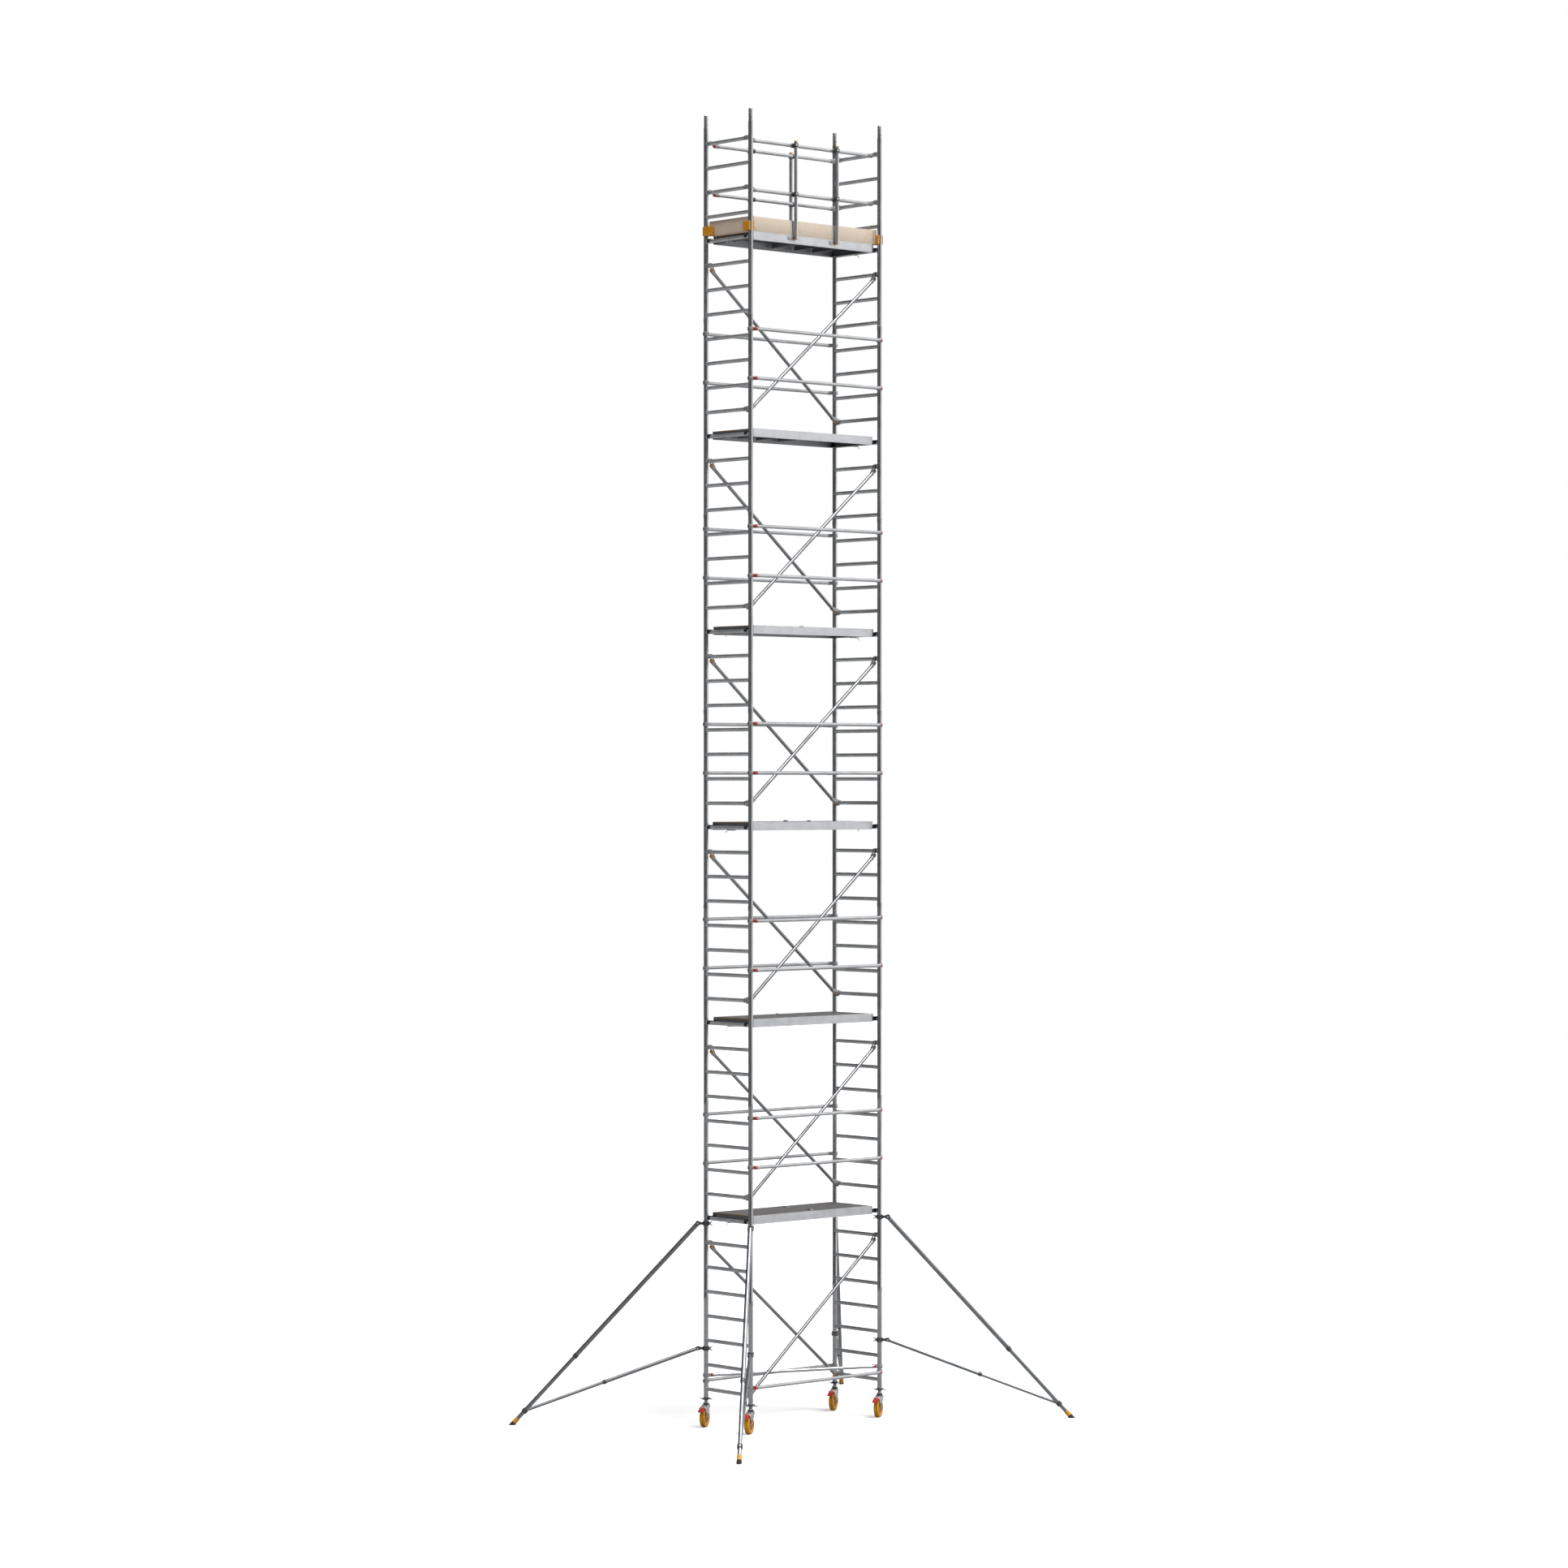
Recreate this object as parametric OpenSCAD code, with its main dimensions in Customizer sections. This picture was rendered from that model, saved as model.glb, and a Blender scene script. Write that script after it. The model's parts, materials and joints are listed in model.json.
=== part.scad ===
// Mobile tower scaffold: ladder frames stacked on castors, trapdoor platforms, braces and stabilisers.
// Millimetres. +X runs along the platforms, +Y across them, +Z up.
// The origin is on the floor in the middle of the tower.

/* [Tower] */
// Distance between the two ladder stacks, post centre to post centre
bay_length = 1800; // [1500:10:2600]
// Width of a ladder frame, post centre to post centre
frame_width = 685; // [600:5:1400]
// Distance from one rung to the next
rung_pitch = 250; // [240:5:320]
// Distance from the lower end of a frame to its first rung
frame_foot = 85; // [70:1:100]

/* [Tubes] */
// Outer diameter of the posts
post_d = 48; // [42:0.5:52]
// Wall of the posts and of the spigots that join them
post_wall = 2.5; // [2:0.1:3]
// Outer diameter of the rungs
rung_d = 38; // [30:0.5:40]
// Wall of the rungs and of the brace tubes
rung_wall = 2; // [1.5:0.1:3]
// Outer diameter of the braces and guard rails
brace_d = 35; // [28:0.5:38]
// Length of a spigot above the end of its post
spigot_rise = 130; // [100:5:160]

/* [Platforms] */
// Outer width of a platform
platform_width = 612; // [540:1:618]
// Height of a platform's side beams
beam_h = 85; // [70:1:100]
// Thickness of the plywood deck and of the trapdoors
deck_t = 12; // [9:0.5:15]
// Distance of the trapdoor's hinge from the middle of the platform
hatch_start = 56; // [40:1:300]
// Height of the toe boards
toe_board_h = 150; // [120:1:200]
// Thickness of the toe boards
toe_board_t = 21; // [15:0.5:24]

/* [Castors] */
// Diameter of the castor wheels
wheel_d = 200; // [160:5:240]
// Width of the castor wheels
wheel_w = 50; // [40:1:60]
// How far a wheel trails behind its swivel axis
wheel_trail = 45; // [35:1:60]
// Angle of the parked castors, from +X towards +Y
castor_turn = 30; // [0:1:90]
// Outer diameter of the threaded jack legs
jack_d = 38; // [34:0.5:40]
// Length of a jack leg above its castor
jack_length = 560; // [450:10:700]
// Jack leg that shows between the castor and its nut
jack_show = 35; // [20:1:80]

/* [Stabilisers] */
// Horizontal distance from a post to the foot of its stabiliser
stabiliser_reach = 2000; // [1500:10:2200]
// Outer diameter of the stabilisers' outer tubes
strut_d = 47; // [42:0.5:50]
// Length of the outer tube of a stabiliser
strut_length = 1880; // [1500:10:1900]
// Distance of the lower brace's coupling from the foot, along the leg
coupling_back = 200; // [150:5:300]

/* [Hidden] */
$fn = 48;

// Clearances
weld_gap = 0.25;    // between a tube and what its end is welded to
slip = 0.3;         // between sliding or clamped round pieces
pin_fit = 0.05;     // radial, between a hinge pin and its bore

// Castors
castor_top = wheel_d + 40;
crown_z = wheel_d + 8;
crown_t = 14;
race_t = castor_top - crown_z - crown_t;
kingpin_r = 8;
axle_r = 10;
fork_gap = wheel_w + 8;
fork_t = 5;
brake_x = -wheel_trail - 62;    // pivot of the brake pedal
brake_z = wheel_d - 4;
brake_pin_r = 4;
jack_r = jack_d / 2;
nut_h = 25;
nut_arm_l = 76;

// Levels
base_rungs = 4;
level_rungs = 8;
level_count = 6;
base_z = castor_top + jack_show + nut_h;    // lower end of the base frames
function rung_z(i) = base_z + frame_foot + rung_pitch * i;
function deck_rung(k) = level_rungs * k - 1;    // rung that carries platform k
function first_rung(level) = level == 0 ? 0 : base_rungs + level_rungs * (level - 1);
top_rung = base_rungs + level_rungs * level_count - 1;

// Posts
post_x = bay_length / 2;
post_y = frame_width / 2;
post_r = post_d / 2;
rung_r = rung_d / 2;
brace_r = brace_d / 2;
spigot_d = post_d - 2 * post_wall - 2 * slip;
spigot_grip = 120;      // length of a spigot inside its own post
button_z = 35;          // height of the lock buttons above a joint
button_d = 10;

// Corners, counted around the tower: angle, signs of X and Y
CORNERS = [[-1, -1], [1, -1], [1, 1], [-1, 1]];
function corner_pos(i) = [CORNERS[i - 1][0] * post_x, CORNERS[i - 1][1] * post_y, 0];
function corner_angle(i) = atan2(CORNERS[i - 1][1], CORNERS[i - 1][0]);

// Platforms
beam_t = 25;
beam_drop = 25;         // how far the beams reach below the middle of the rung
beam_top = beam_h - beam_drop;
hook_bar = 70;          // from the middle of the rung to the end of the platform's frame
platform_end = post_x - hook_bar;
inner_y = platform_width / 2 - beam_t;
end_beam_t = 30;
middle_beam_t = 24;
hatch_half_w = inner_y - 24;
hinge_rise = 7;         // hinge axis above the deck
hinge_y = 180;          // trapdoor hinges from the middle line
hinge_pin_r = 3;
hook_w = 34;
hook_reach = 30;        // from the middle of the rung to the tip of a hook

// Braces
hook_y = post_y - 60;           // diagonals and top rails hook onto the rungs here
cap_l = 15;
cap_r = brace_r + 0.5;
rail_offset = post_r + cap_r + 0.5;     // side rails run this far outside the posts
claw_w = 46;
rail_lift = 60;                 // side rails sit this far above the level of a rung
top_rail_drop = 18;             // top rails hang this far below the middle of their rungs
brace_short = 50;               // brace ends, short of the post or rung
rail_short = 20;                // side rail ends, short of the post's axis
diagonal_rise = 6;              // rungs that a diagonal climbs
DIAGONALS = [for (k = [0 : level_count - 1]) level_rungs * k];
SIDE_RAILS = [for (k = [1 : level_count - 1], step = [2, 4])
    rung_z(deck_rung(k) + step) + rail_lift];
TOP_RAILS = [for (i = [top_rung - 2, top_rung]) rung_z(i) - top_rail_drop];
base_rail_z = rung_z(0) + 80;
plan_brace_z = rung_z(0) + 140;
plan_angle = atan2(frame_width, bay_length);
plan_half = norm([post_x, post_y]);

// Toe boards
toe_y = platform_width / 2 - 1;         // outer face of the long boards
toe_end_x = post_x - rung_r - 14;       // outer face of the end boards
toe_end_y = post_y - 12;                // ends of the end boards
toe_gap = 0.5;

// Guard posts
guard_post_d = 38;
guard_post_y = platform_width / 2 + guard_post_d / 2 + 3;
GUARD_POST_X = [-265, 310];
guard_post_low = 23;            // lower end above the middle of the platform's rung
guard_post_l = 995;

// Stabilisers
clamp_h = 46;
clamp_t = 9;
upper_clamp_z = rung_z(deck_rung(1)) - 55;
lower_clamp_z = rung_z(2) - 85;
elbow_x = 85;
inner_d = strut_d - 6 - 2 * slip;
brace_outer_d = 38;
brace_inner_d = 31;
lower_outer_share = 0.55;
foot_l = 60;
leg_overlap = 600;
strut_top = [elbow_x, upper_clamp_z];
strut_foot = [stabiliser_reach, 0];
strut_run = norm(strut_foot - strut_top);
strut_dir = (strut_foot - strut_top) / strut_run;
strut_tilt = atan2(-strut_dir[1], strut_dir[0]);
coupling = strut_foot - coupling_back * strut_dir;
lower_start = [elbow_x, lower_clamp_z];
lower_run = norm(coupling - lower_start);
lower_tilt = atan2(lower_start[1] - coupling[1], coupling[0] - lower_start[0]);

// A hollow tube along +Z
module tube(d, wall, h) {
    difference() {
        cylinder(d = d, h = h);
        translate([0, 0, -1]) cylinder(d = d - 2 * wall, h = h + 2);
    }
}

// A hollow tube from one point to another
module tube_between(a, b, d, wall) {
    v = b - a;
    translate(a) rotate([0, acos(v[2] / norm(v)), atan2(v[1], v[0])]) tube(d, wall, norm(v));
}

// One post, with the holes that its lock buttons snap into
module post(h, lower_hole) {
    difference() {
        tube(post_d, post_wall, h);
        if (lower_hole)
            translate([0, 0, button_z]) rotate([90, 0, 0])
                cylinder(d = button_d + 1, h = post_d);
    }
}

// A spigot, which stands half inside one post and half inside the next
module spigot() {
    difference() {
        translate([0, 0, -spigot_grip]) tube(spigot_d, post_wall, spigot_grip + spigot_rise);
        translate([0, 0, button_z]) rotate([90, 0, 0]) cylinder(d = button_d + 1, h = post_d);
    }
}

// A ladder frame: two posts, their rungs and the spigots at the top
module ladder_frame(side, level, rungs) {
    foot_z = rung_z(first_rung(level)) - frame_foot;
    h = rungs * rung_pitch;
    rung_l = frame_width - post_d - 2 * weld_gap;
    for (y = [-post_y, post_y]) translate([side * post_x, y, foot_z]) {
        post(h, level > 0);
        translate([0, 0, h]) spigot();
    }
    for (i = [0 : rungs - 1])
        translate([side * post_x, rung_l / 2, rung_z(first_rung(level) + i)]) rotate([90, 0, 0])
            tube(rung_d, rung_wall, rung_l);
}

module base_frames() {
    color("gainsboro") for (side = [-1, 1]) ladder_frame(side, 0, base_rungs);
}

module upper_frames(level) {
    color("silver") for (side = [-1, 1]) ladder_frame(side, level, level_rungs);
}

// A sprung button with its leaf, inside every spigot
module lock_buttons() {
    leaf_y = -spigot_d / 2 + post_wall + 2;
    color("dimgray")
    for (level = [0 : level_count], x = [-post_x, post_x], y = [-post_y, post_y])
        translate([x, y, rung_z(first_rung(level + 1)) - frame_foot + button_z]) {
            rotate([90, 0, 0]) cylinder(d = button_d, h = post_r + 3);
            translate([-6, leaf_y, -70]) cube([12, 1.5, 80]);
        }
}

// Turns a platform so that the trapdoors lie on alternate sides
module at_platform(k) {
    translate([0, 0, rung_z(deck_rung(k))]) rotate([0, 0, k % 2 == 1 ? 0 : 180]) children();
}

// A hollow beam along +X, centred in X, with its lower face at z = 0
module beam(length, t, h, wall) {
    translate([-length / 2, 0, 0]) difference() {
        translate([0, -t / 2, 0]) cube([length, t, h]);
        translate([-1, wall - t / 2, wall]) cube([length + 2, t - 2 * wall, h - 2 * wall]);
    }
}

// A hollow beam along +Y, from y = -half to y = half
module cross_beam(x, half, t, low, high) {
    wall = 2;
    translate([x, 0, low]) rotate([0, 0, 90]) beam(2 * half, t, high - low, wall);
}

// A hook that drops over the rung at the end of a platform
module platform_hook() {
    length = post_x - platform_end - weld_gap;
    drop = 14;
    difference() {
        translate([-length, -hook_w / 2, -drop])
            cube([length + hook_reach, hook_w, drop + rung_r + 11]);
        translate([0, hook_w, 0]) rotate([90, 0, 0]) cylinder(r = rung_r + slip, h = 2 * hook_w);
        translate([-rung_r - slip, -hook_w, -2 * drop])
            cube([2 * (rung_r + slip), 2 * hook_w, 2 * drop]);
    }
}

// A trapdoor hinge's fixed ears and pin
module hinge_ears() {
    ear_t = 6;
    ear_gap = 48;
    for (y = [-ear_gap / 2 - ear_t, ear_gap / 2]) {
        translate([hatch_start - 12, y, beam_top - 1]) cube([12, ear_t, hinge_rise + 6]);
        translate([hatch_start, y + ear_t, beam_top + hinge_rise]) rotate([90, 0, 0])
            cylinder(r = hinge_rise - 2, h = ear_t);
    }
    translate([hatch_start, (ear_gap + ear_t) / 2, beam_top + hinge_rise]) rotate([90, 0, 0])
        cylinder(r = hinge_pin_r, h = ear_gap + ear_t);
}

// The welded aluminium frame of a platform
module platform(k) {
    support = beam_top - deck_t - 0.8;
    middle_x = hatch_start - 2 - middle_beam_t / 2;
    ledge_x = hatch_start + 30;
    color("lightgray") at_platform(k) {
        for (s = [-1, 1]) {
            translate([0, s * (platform_width - beam_t) / 2, -beam_drop])
                beam(2 * platform_end, beam_t, beam_h, 2.5);
            translate([s * post_x, platform_width / 2 - hook_w / 2 - 3, 0])
                mirror([s > 0 ? 0 : 1, 0, 0]) platform_hook();
            translate([s * post_x, -platform_width / 2 + hook_w / 2 + 3, 0])
                mirror([s > 0 ? 0 : 1, 0, 0]) platform_hook();
            cross_beam(s * (platform_end - end_beam_t / 2), inner_y - weld_gap, end_beam_t,
                5 - beam_drop, support);
        }
        for (x = [-0.62, -0.31]) cross_beam(x * platform_end, inner_y - weld_gap, 20, 0, support);
        union() {
            translate([middle_x - middle_beam_t / 2, weld_gap - inner_y, 0])
                cube([middle_beam_t, 2 * (inner_y - weld_gap), beam_top]);
            for (y = [-hinge_y, hinge_y]) translate([0, y, 0]) hinge_ears();
        }
        for (s = [-1, 1]) mirror([0, s > 0 ? 0 : 1, 0]) {
            translate([hatch_start - 2 + weld_gap, hatch_half_w + 1.5, support - 6])
                cube([platform_end - end_beam_t - hatch_start + 1,
                    inner_y - weld_gap - hatch_half_w - 1.5, beam_top - support + 6]);
            translate([ledge_x, hatch_half_w - 14, support - 6])
                cube([platform_end - end_beam_t - ledge_x - 1, 16, 6]);
        }
    }
}

// The fixed plywood half of each deck
module deck_boards() {
    color("dimgray") for (k = [1 : level_count]) at_platform(k)
        translate([1 - platform_end, -inner_y + 0.5, beam_top - deck_t - 0.5])
            cube([platform_end - 1.5 + hatch_start - 2 - middle_beam_t, 2 * inner_y - 1, deck_t]);
}

// A plywood trapdoor with its hinge knuckles
module hatch(k) {
    length = platform_end - 1 - hatch_start - 2;
    knuckle_w = 47;
    color("gray") at_platform(k) difference() {
        union() {
            translate([hatch_start + 2, -hatch_half_w, beam_top - deck_t - 0.5])
                cube([length, 2 * hatch_half_w, deck_t]);
            for (y = [-hinge_y, hinge_y]) {
                translate([hatch_start + 2.5, y - knuckle_w / 2, beam_top - 1])
                    cube([40, knuckle_w, 4]);
                translate([hatch_start, y + knuckle_w / 2, beam_top + hinge_rise])
                    rotate([90, 0, 0]) cylinder(r = 6, h = knuckle_w);
            }
        }
        for (y = [-hinge_y, hinge_y])
            translate([hatch_start, y + knuckle_w, beam_top + hinge_rise]) rotate([90, 0, 0])
                cylinder(r = hinge_pin_r + pin_fit, h = 2 * knuckle_w);
        translate([hatch_start + length - 60, -45, 0]) cube([25, 90, beam_h]);
    }
}

// The catch under each end of a platform, which stops the wind from lifting it
module wind_hooks() {
    rod_r = 4;
    under = max(rung_r, beam_drop - 5) + rod_r + slip;
    color("dimgray") for (k = [1 : level_count], s = [-1, 1])
        at_platform(k) mirror([s > 0 ? 0 : 1, 0, 0]) union() {
            translate([platform_end - 24, 0, -under]) rotate([0, 90, 0])
                cylinder(r = rod_r, h = post_x + 12 - platform_end + 24);
            translate([post_x + 10, 0, -under]) rotate([0, 140, 0]) cylinder(r = rod_r, h = 38);
        }
}

// Claw that snaps over a rung. The rung's middle is the origin, and end is where the tube ends.
module rung_claw(end, tilt) {
    ring_r = rung_r + 11;
    seat_l = 52;
    half = brace_r + 3.5;
    difference() {
        union() {
            translate([0, claw_w / 2, 0]) rotate([90, 0, 0]) cylinder(r = ring_r, h = claw_w);
            translate([end[0], 0, end[1]]) rotate([0, -tilt, 0]) {
                translate([0, -claw_w / 2, -half]) cube([seat_l, claw_w, 2 * half]);
                translate([-32, -claw_w / 2, half - 2]) cube([seat_l + 20, claw_w, 20]);
            }
        }
        translate([0, claw_w, 0]) rotate([90, 0, 0]) cylinder(r = rung_r + slip, h = 2 * claw_w);
        translate([-60, -claw_w, -60]) cube([60, 2 * claw_w, 52]);
        translate([end[0], 0, end[1]]) rotate([0, 90 - tilt, 0])
            translate([0, 0, -60]) cylinder(r = cap_r + slip, h = 140);
    }
}

// Where the diagonal that starts on rung i ends: below the upper rung and beside the lower one
function diagonal_low(i) = [brace_short - post_x - 2, rung_z(i)];
function diagonal_high(i) = [post_x - 8, rung_z(i + diagonal_rise) - 35];
function diagonal_tilt(i) = atan2(diagonal_high(i)[1] - diagonal_low(i)[1],
    diagonal_high(i)[0] - diagonal_low(i)[0]);

// Places children along a diagonal: x runs along its tube
module along_diagonal(i) {
    low = diagonal_low(i);
    for (turn = [0, 180]) rotate([0, 0, turn]) translate([low[0], -hook_y, low[1]])
        rotate([0, 90 - diagonal_tilt(i), 0]) children();
}

function diagonal_run(i) = norm(diagonal_high(i) - diagonal_low(i));

module diagonal_braces() {
    color("whitesmoke") for (i = DIAGONALS) {
        along_diagonal(i) translate([0, 0, cap_l + weld_gap])
            tube(brace_d, rung_wall, diagonal_run(i) - 2 * (cap_l + weld_gap));
        for (turn = [0, 180]) rotate([0, 0, turn]) {
            translate([-post_x, -hook_y, rung_z(i)])
                rung_claw([brace_short - 2, 0], diagonal_tilt(i));
            translate([post_x, -hook_y, rung_z(i + diagonal_rise)]) mirror([1, 0, 0])
                rung_claw([8, -35], -diagonal_tilt(i));
        }
    }
}

// Claw that snaps around a post. The post's axis is the origin's Z, and the tube leaves along +X.
module post_claw(offset, short) {
    half = brace_r + 3.5;
    difference() {
        union() {
            translate([0, 0, -half]) cylinder(r = post_r + 9, h = 2 * half);
            translate([0, -offset - half, -half]) cube([short + 5, 2 * half, 2 * half]);
        }
        translate([0, 0, -2 * half]) cylinder(r = post_r + slip, h = 4 * half);
        translate([-60, -8, -2 * half]) cube([60, 16, 4 * half]);
        translate([short - slip, -offset, 0]) rotate([0, 90, 0])
            cylinder(r = cap_r + slip, h = 60);
    }
}

// A straight rail between x = -half and x = half, with room for a cap at each end
module rail_tube(half) {
    tube_between([cap_l + weld_gap - half, 0, 0], [half - cap_l - weld_gap, 0, 0],
        brace_d, rung_wall);
}

module rail_caps(half) {
    for (s = [-1, 1]) translate([s * (half - cap_l / 2) - cap_l / 2, 0, 0]) rotate([0, 90, 0])
        cylinder(r = cap_r, h = cap_l);
}

// Places children on both long sides of the tower; the second side is the first one turned around
module both_sides() {
    for (turn = [0, 180]) rotate([0, 0, turn]) children();
}

// Guard rails, base rails and the horizontal diagonal, each with its claws
module guard_rails() {
    half = post_x - brace_short;
    color("whitesmoke") {
        both_sides() for (z = concat([base_rail_z], SIDE_RAILS))
            translate([0, -post_y, z]) {
                translate([0, -rail_offset, 0]) rail_tube(post_x - rail_short);
                for (s = [-1, 1]) translate([s * post_x, 0, 0])
                    mirror([s > 0 ? 1 : 0, 0, 0]) post_claw(rail_offset, rail_short);
            }
        both_sides() for (z = TOP_RAILS) translate([0, -hook_y, z]) {
            rail_tube(half);
            for (s = [-1, 1]) translate([s * post_x, 0, top_rail_drop])
                mirror([s > 0 ? 1 : 0, 0, 0]) rung_claw([brace_short, -top_rail_drop], 0);
        }
        translate([0, 0, plan_brace_z]) rotate([0, 0, -plan_angle]) {
            rail_tube(plan_half - brace_short);
            for (s = [-1, 1]) translate([s * plan_half, 0, 0])
                mirror([s > 0 ? 1 : 0, 0, 0]) post_claw(0, brace_short);
        }
    }
}

module red_caps() {
    half = post_x - brace_short;
    color("red") {
        both_sides() for (z = concat([base_rail_z], SIDE_RAILS))
            translate([0, -post_y - rail_offset, z]) rail_caps(post_x - rail_short);
        both_sides() for (z = TOP_RAILS) translate([0, -hook_y, z]) rail_caps(half);
        translate([0, 0, plan_brace_z]) rotate([0, 0, -plan_angle])
            rail_caps(plan_half - brace_short);
    }
}

// Plastic clip that snaps on a post from inside and holds the end of an end board.
// The post's axis is the origin's Z, and the middle of the tower lies towards -X and -Y.
module toe_board_bracket() {
    h = 95;
    wall = 11;
    inner = toe_end_x - post_x - 5;
    board = toe_end_x - post_x + slip;
    difference() {
        translate([inner, -88, 0]) cube([post_r + wall - inner, 88 + 17, h]);
        translate([0, 0, -1]) cylinder(r = post_r + slip, h = h + 2);
        translate([inner - 1, -100, -1])
            cube([board - inner + 1, 100 + toe_end_y - post_y + slip, h + 2]);
    }
}

module orange_caps() {
    color("orange") {
        for (i = DIAGONALS) along_diagonal(i) {
            cylinder(r = cap_r, h = cap_l);
            translate([0, 0, diagonal_run(i) - cap_l]) cylinder(r = cap_r, h = cap_l);
        }
        both_sides() for (x = GUARD_POST_X)
            translate([x, -guard_post_y, rung_z(deck_rung(level_count)) + guard_post_low]) {
                translate([0, 0, -10 - weld_gap]) cylinder(d = guard_post_d, h = 10);
                translate([0, 0, guard_post_l + weld_gap]) cylinder(d = guard_post_d, h = 10);
            }
        for (side_x = [0, 1], side_y = [0, 1]) mirror([side_x, 0, 0]) mirror([0, side_y, 0])
            translate([post_x, post_y, rung_z(deck_rung(level_count)) + beam_top])
                toe_board_bracket();
    }
}

// The two upright guard posts on each side of the highest platform, with their clamps
module guard_posts() {
    deck_z = rung_z(deck_rung(level_count));
    low = deck_z + guard_post_low;
    color("whitesmoke") both_sides() for (x = GUARD_POST_X) {
        translate([x, -guard_post_y, low]) tube(guard_post_d, rung_wall, guard_post_l);
        for (z = TOP_RAILS) difference() {
            translate([x - 24, -guard_post_y - 24, z - 20])
                cube([48, guard_post_y - hook_y + 46, 40]);
            translate([x, -guard_post_y, z - 30]) cylinder(d = guard_post_d + 2 * slip, h = 60);
            translate([x - 30, -hook_y, z]) rotate([0, 90, 0]) cylinder(r = brace_r + slip, h = 60);
        }
        difference() {
            translate([x - 90, -platform_width / 2 - 6, deck_z + 8]) cube([100, 5.7, 42]);
            translate([x, -guard_post_y, low - 40]) cylinder(d = guard_post_d + 2 * slip, h = 90);
        }
    }
}

// Toe boards on the four sides of the highest platform
module toe_boards() {
    z = rung_z(deck_rung(level_count)) + beam_top + slip;
    long_half = toe_end_x - toe_board_t - toe_gap;
    color("wheat") {
        both_sides() translate([-long_half, -toe_y, z])
            cube([2 * long_half, toe_board_t, toe_board_h]);
        both_sides() translate([toe_end_x - toe_board_t, -toe_end_y, z])
            cube([toe_board_t, 2 * toe_end_y, toe_board_h]);
        both_sides() for (x = GUARD_POST_X)
            translate([x - 52, -toe_y - 3, z]) cube([30, 3.5, toe_board_h]);
    }
}

// A castor's jack leg: a long spindle with the flange and kingpin that the fork turns on
module jack_leg(i) {
    color("lightgray") translate(corner_pos(i)) {
        translate([0, 0, castor_top + slip]) cylinder(r = 28, h = 6);
        translate([0, 0, castor_top + slip]) cylinder(r = jack_r, h = jack_length);
        translate([0, 0, crown_z - slip]) cylinder(r = kingpin_r, h = castor_top - crown_z + 10);
        translate([0, 0, crown_z - 9]) cylinder(r = 13, h = 9 - slip, $fn = 6);
    }
}

// The nut under the end of a post, with four arms to turn it by
module jack_nut(i) {
    color("dimgray") translate([0, 0, base_z - nut_h]) translate(corner_pos(i)) difference() {
        union() {
            cylinder(r = post_r + 6, h = nut_h - slip);
            for (a = [15 : 90 : 285]) rotate([0, 0, a]) translate([0, -5, 6]) cube([nut_arm_l, 10, 7]);
        }
        translate([0, 0, -1]) cylinder(r = jack_r + slip, h = nut_h + 2);
    }
}

// Places children at a castor: the swivel axis is Z and the wheel trails towards -X
module at_castor(i) {
    translate(corner_pos(i)) rotate([0, 0, castor_turn]) children();
}

// One side plate of a fork, as an outline in the XZ plane
module fork_plate() {
    rotate([90, 0, 0]) linear_extrude(fork_t) difference() {
        polygon([[40, crown_z + 4], [40, crown_z - 10], [-wheel_trail + 22, wheel_d / 2 - 8],
            [-wheel_trail + 10, wheel_d / 2 - 22], [-wheel_trail - 10, wheel_d / 2 - 22],
            [-wheel_trail - 24, wheel_d / 2 + 4], [brake_x - 10, brake_z - 12],
            [brake_x - 10, brake_z + 8], [-40, crown_z + 4]]);
        translate([-wheel_trail, wheel_d / 2]) circle(r = axle_r + slip);
        translate([brake_x, brake_z]) circle(r = brake_pin_r + slip);
    }
}

module castor_fork(i) {
    outer = fork_gap / 2 + fork_t;
    color("gainsboro") at_castor(i) {
        difference() {
            union() {
                translate([0, 0, crown_z]) cylinder(r = 42, h = crown_t);
                translate([0, 0, crown_z + crown_t - 1]) cylinder(r = 30, h = race_t + 1);
                translate([-40, -outer, crown_z]) cube([80, 2 * outer, 6]);
                for (y = [-outer, outer - fork_t]) translate([0, y + fork_t, 0]) fork_plate();
            }
            translate([0, 0, crown_z - 20]) cylinder(r = kingpin_r + slip, h = 60);
        }
        // axle bolt with its head and nut
        translate([-wheel_trail, outer + 6, wheel_d / 2]) rotate([90, 0, 0])
            cylinder(r = axle_r, h = 2 * outer + 12);
        for (s = [-1, 1])
            translate([-wheel_trail, s * (outer + 4 + weld_gap) + 4, wheel_d / 2])
                rotate([90, 0, 0]) cylinder(r = 15, h = 8);
        // pin of the brake pedal
        translate([brake_x, outer + 2, brake_z]) rotate([90, 0, 0])
            cylinder(r = brake_pin_r, h = 2 * outer + 4);
    }
}

// A wheel: a cast core with a soft tread, turned as one outline
module castor_wheel(i) {
    w = wheel_w / 2;
    r = wheel_d / 2;
    color("orange") at_castor(i) translate([-wheel_trail, 0, r]) rotate([90, 0, 0])
        rotate_extrude($fn = 96) polygon([[axle_r + pin_fit, -w - 2], [28, -w - 2], [30, -w + 12],
            [r - 30, -w + 12], [r - 26, -w], [r - 5, -w], [r, -w + 9], [r, w - 9], [r - 5, w],
            [r - 26, w], [r - 30, w - 12], [30, w - 12], [28, w + 2], [axle_r + pin_fit, w + 2]]);
}

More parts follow.
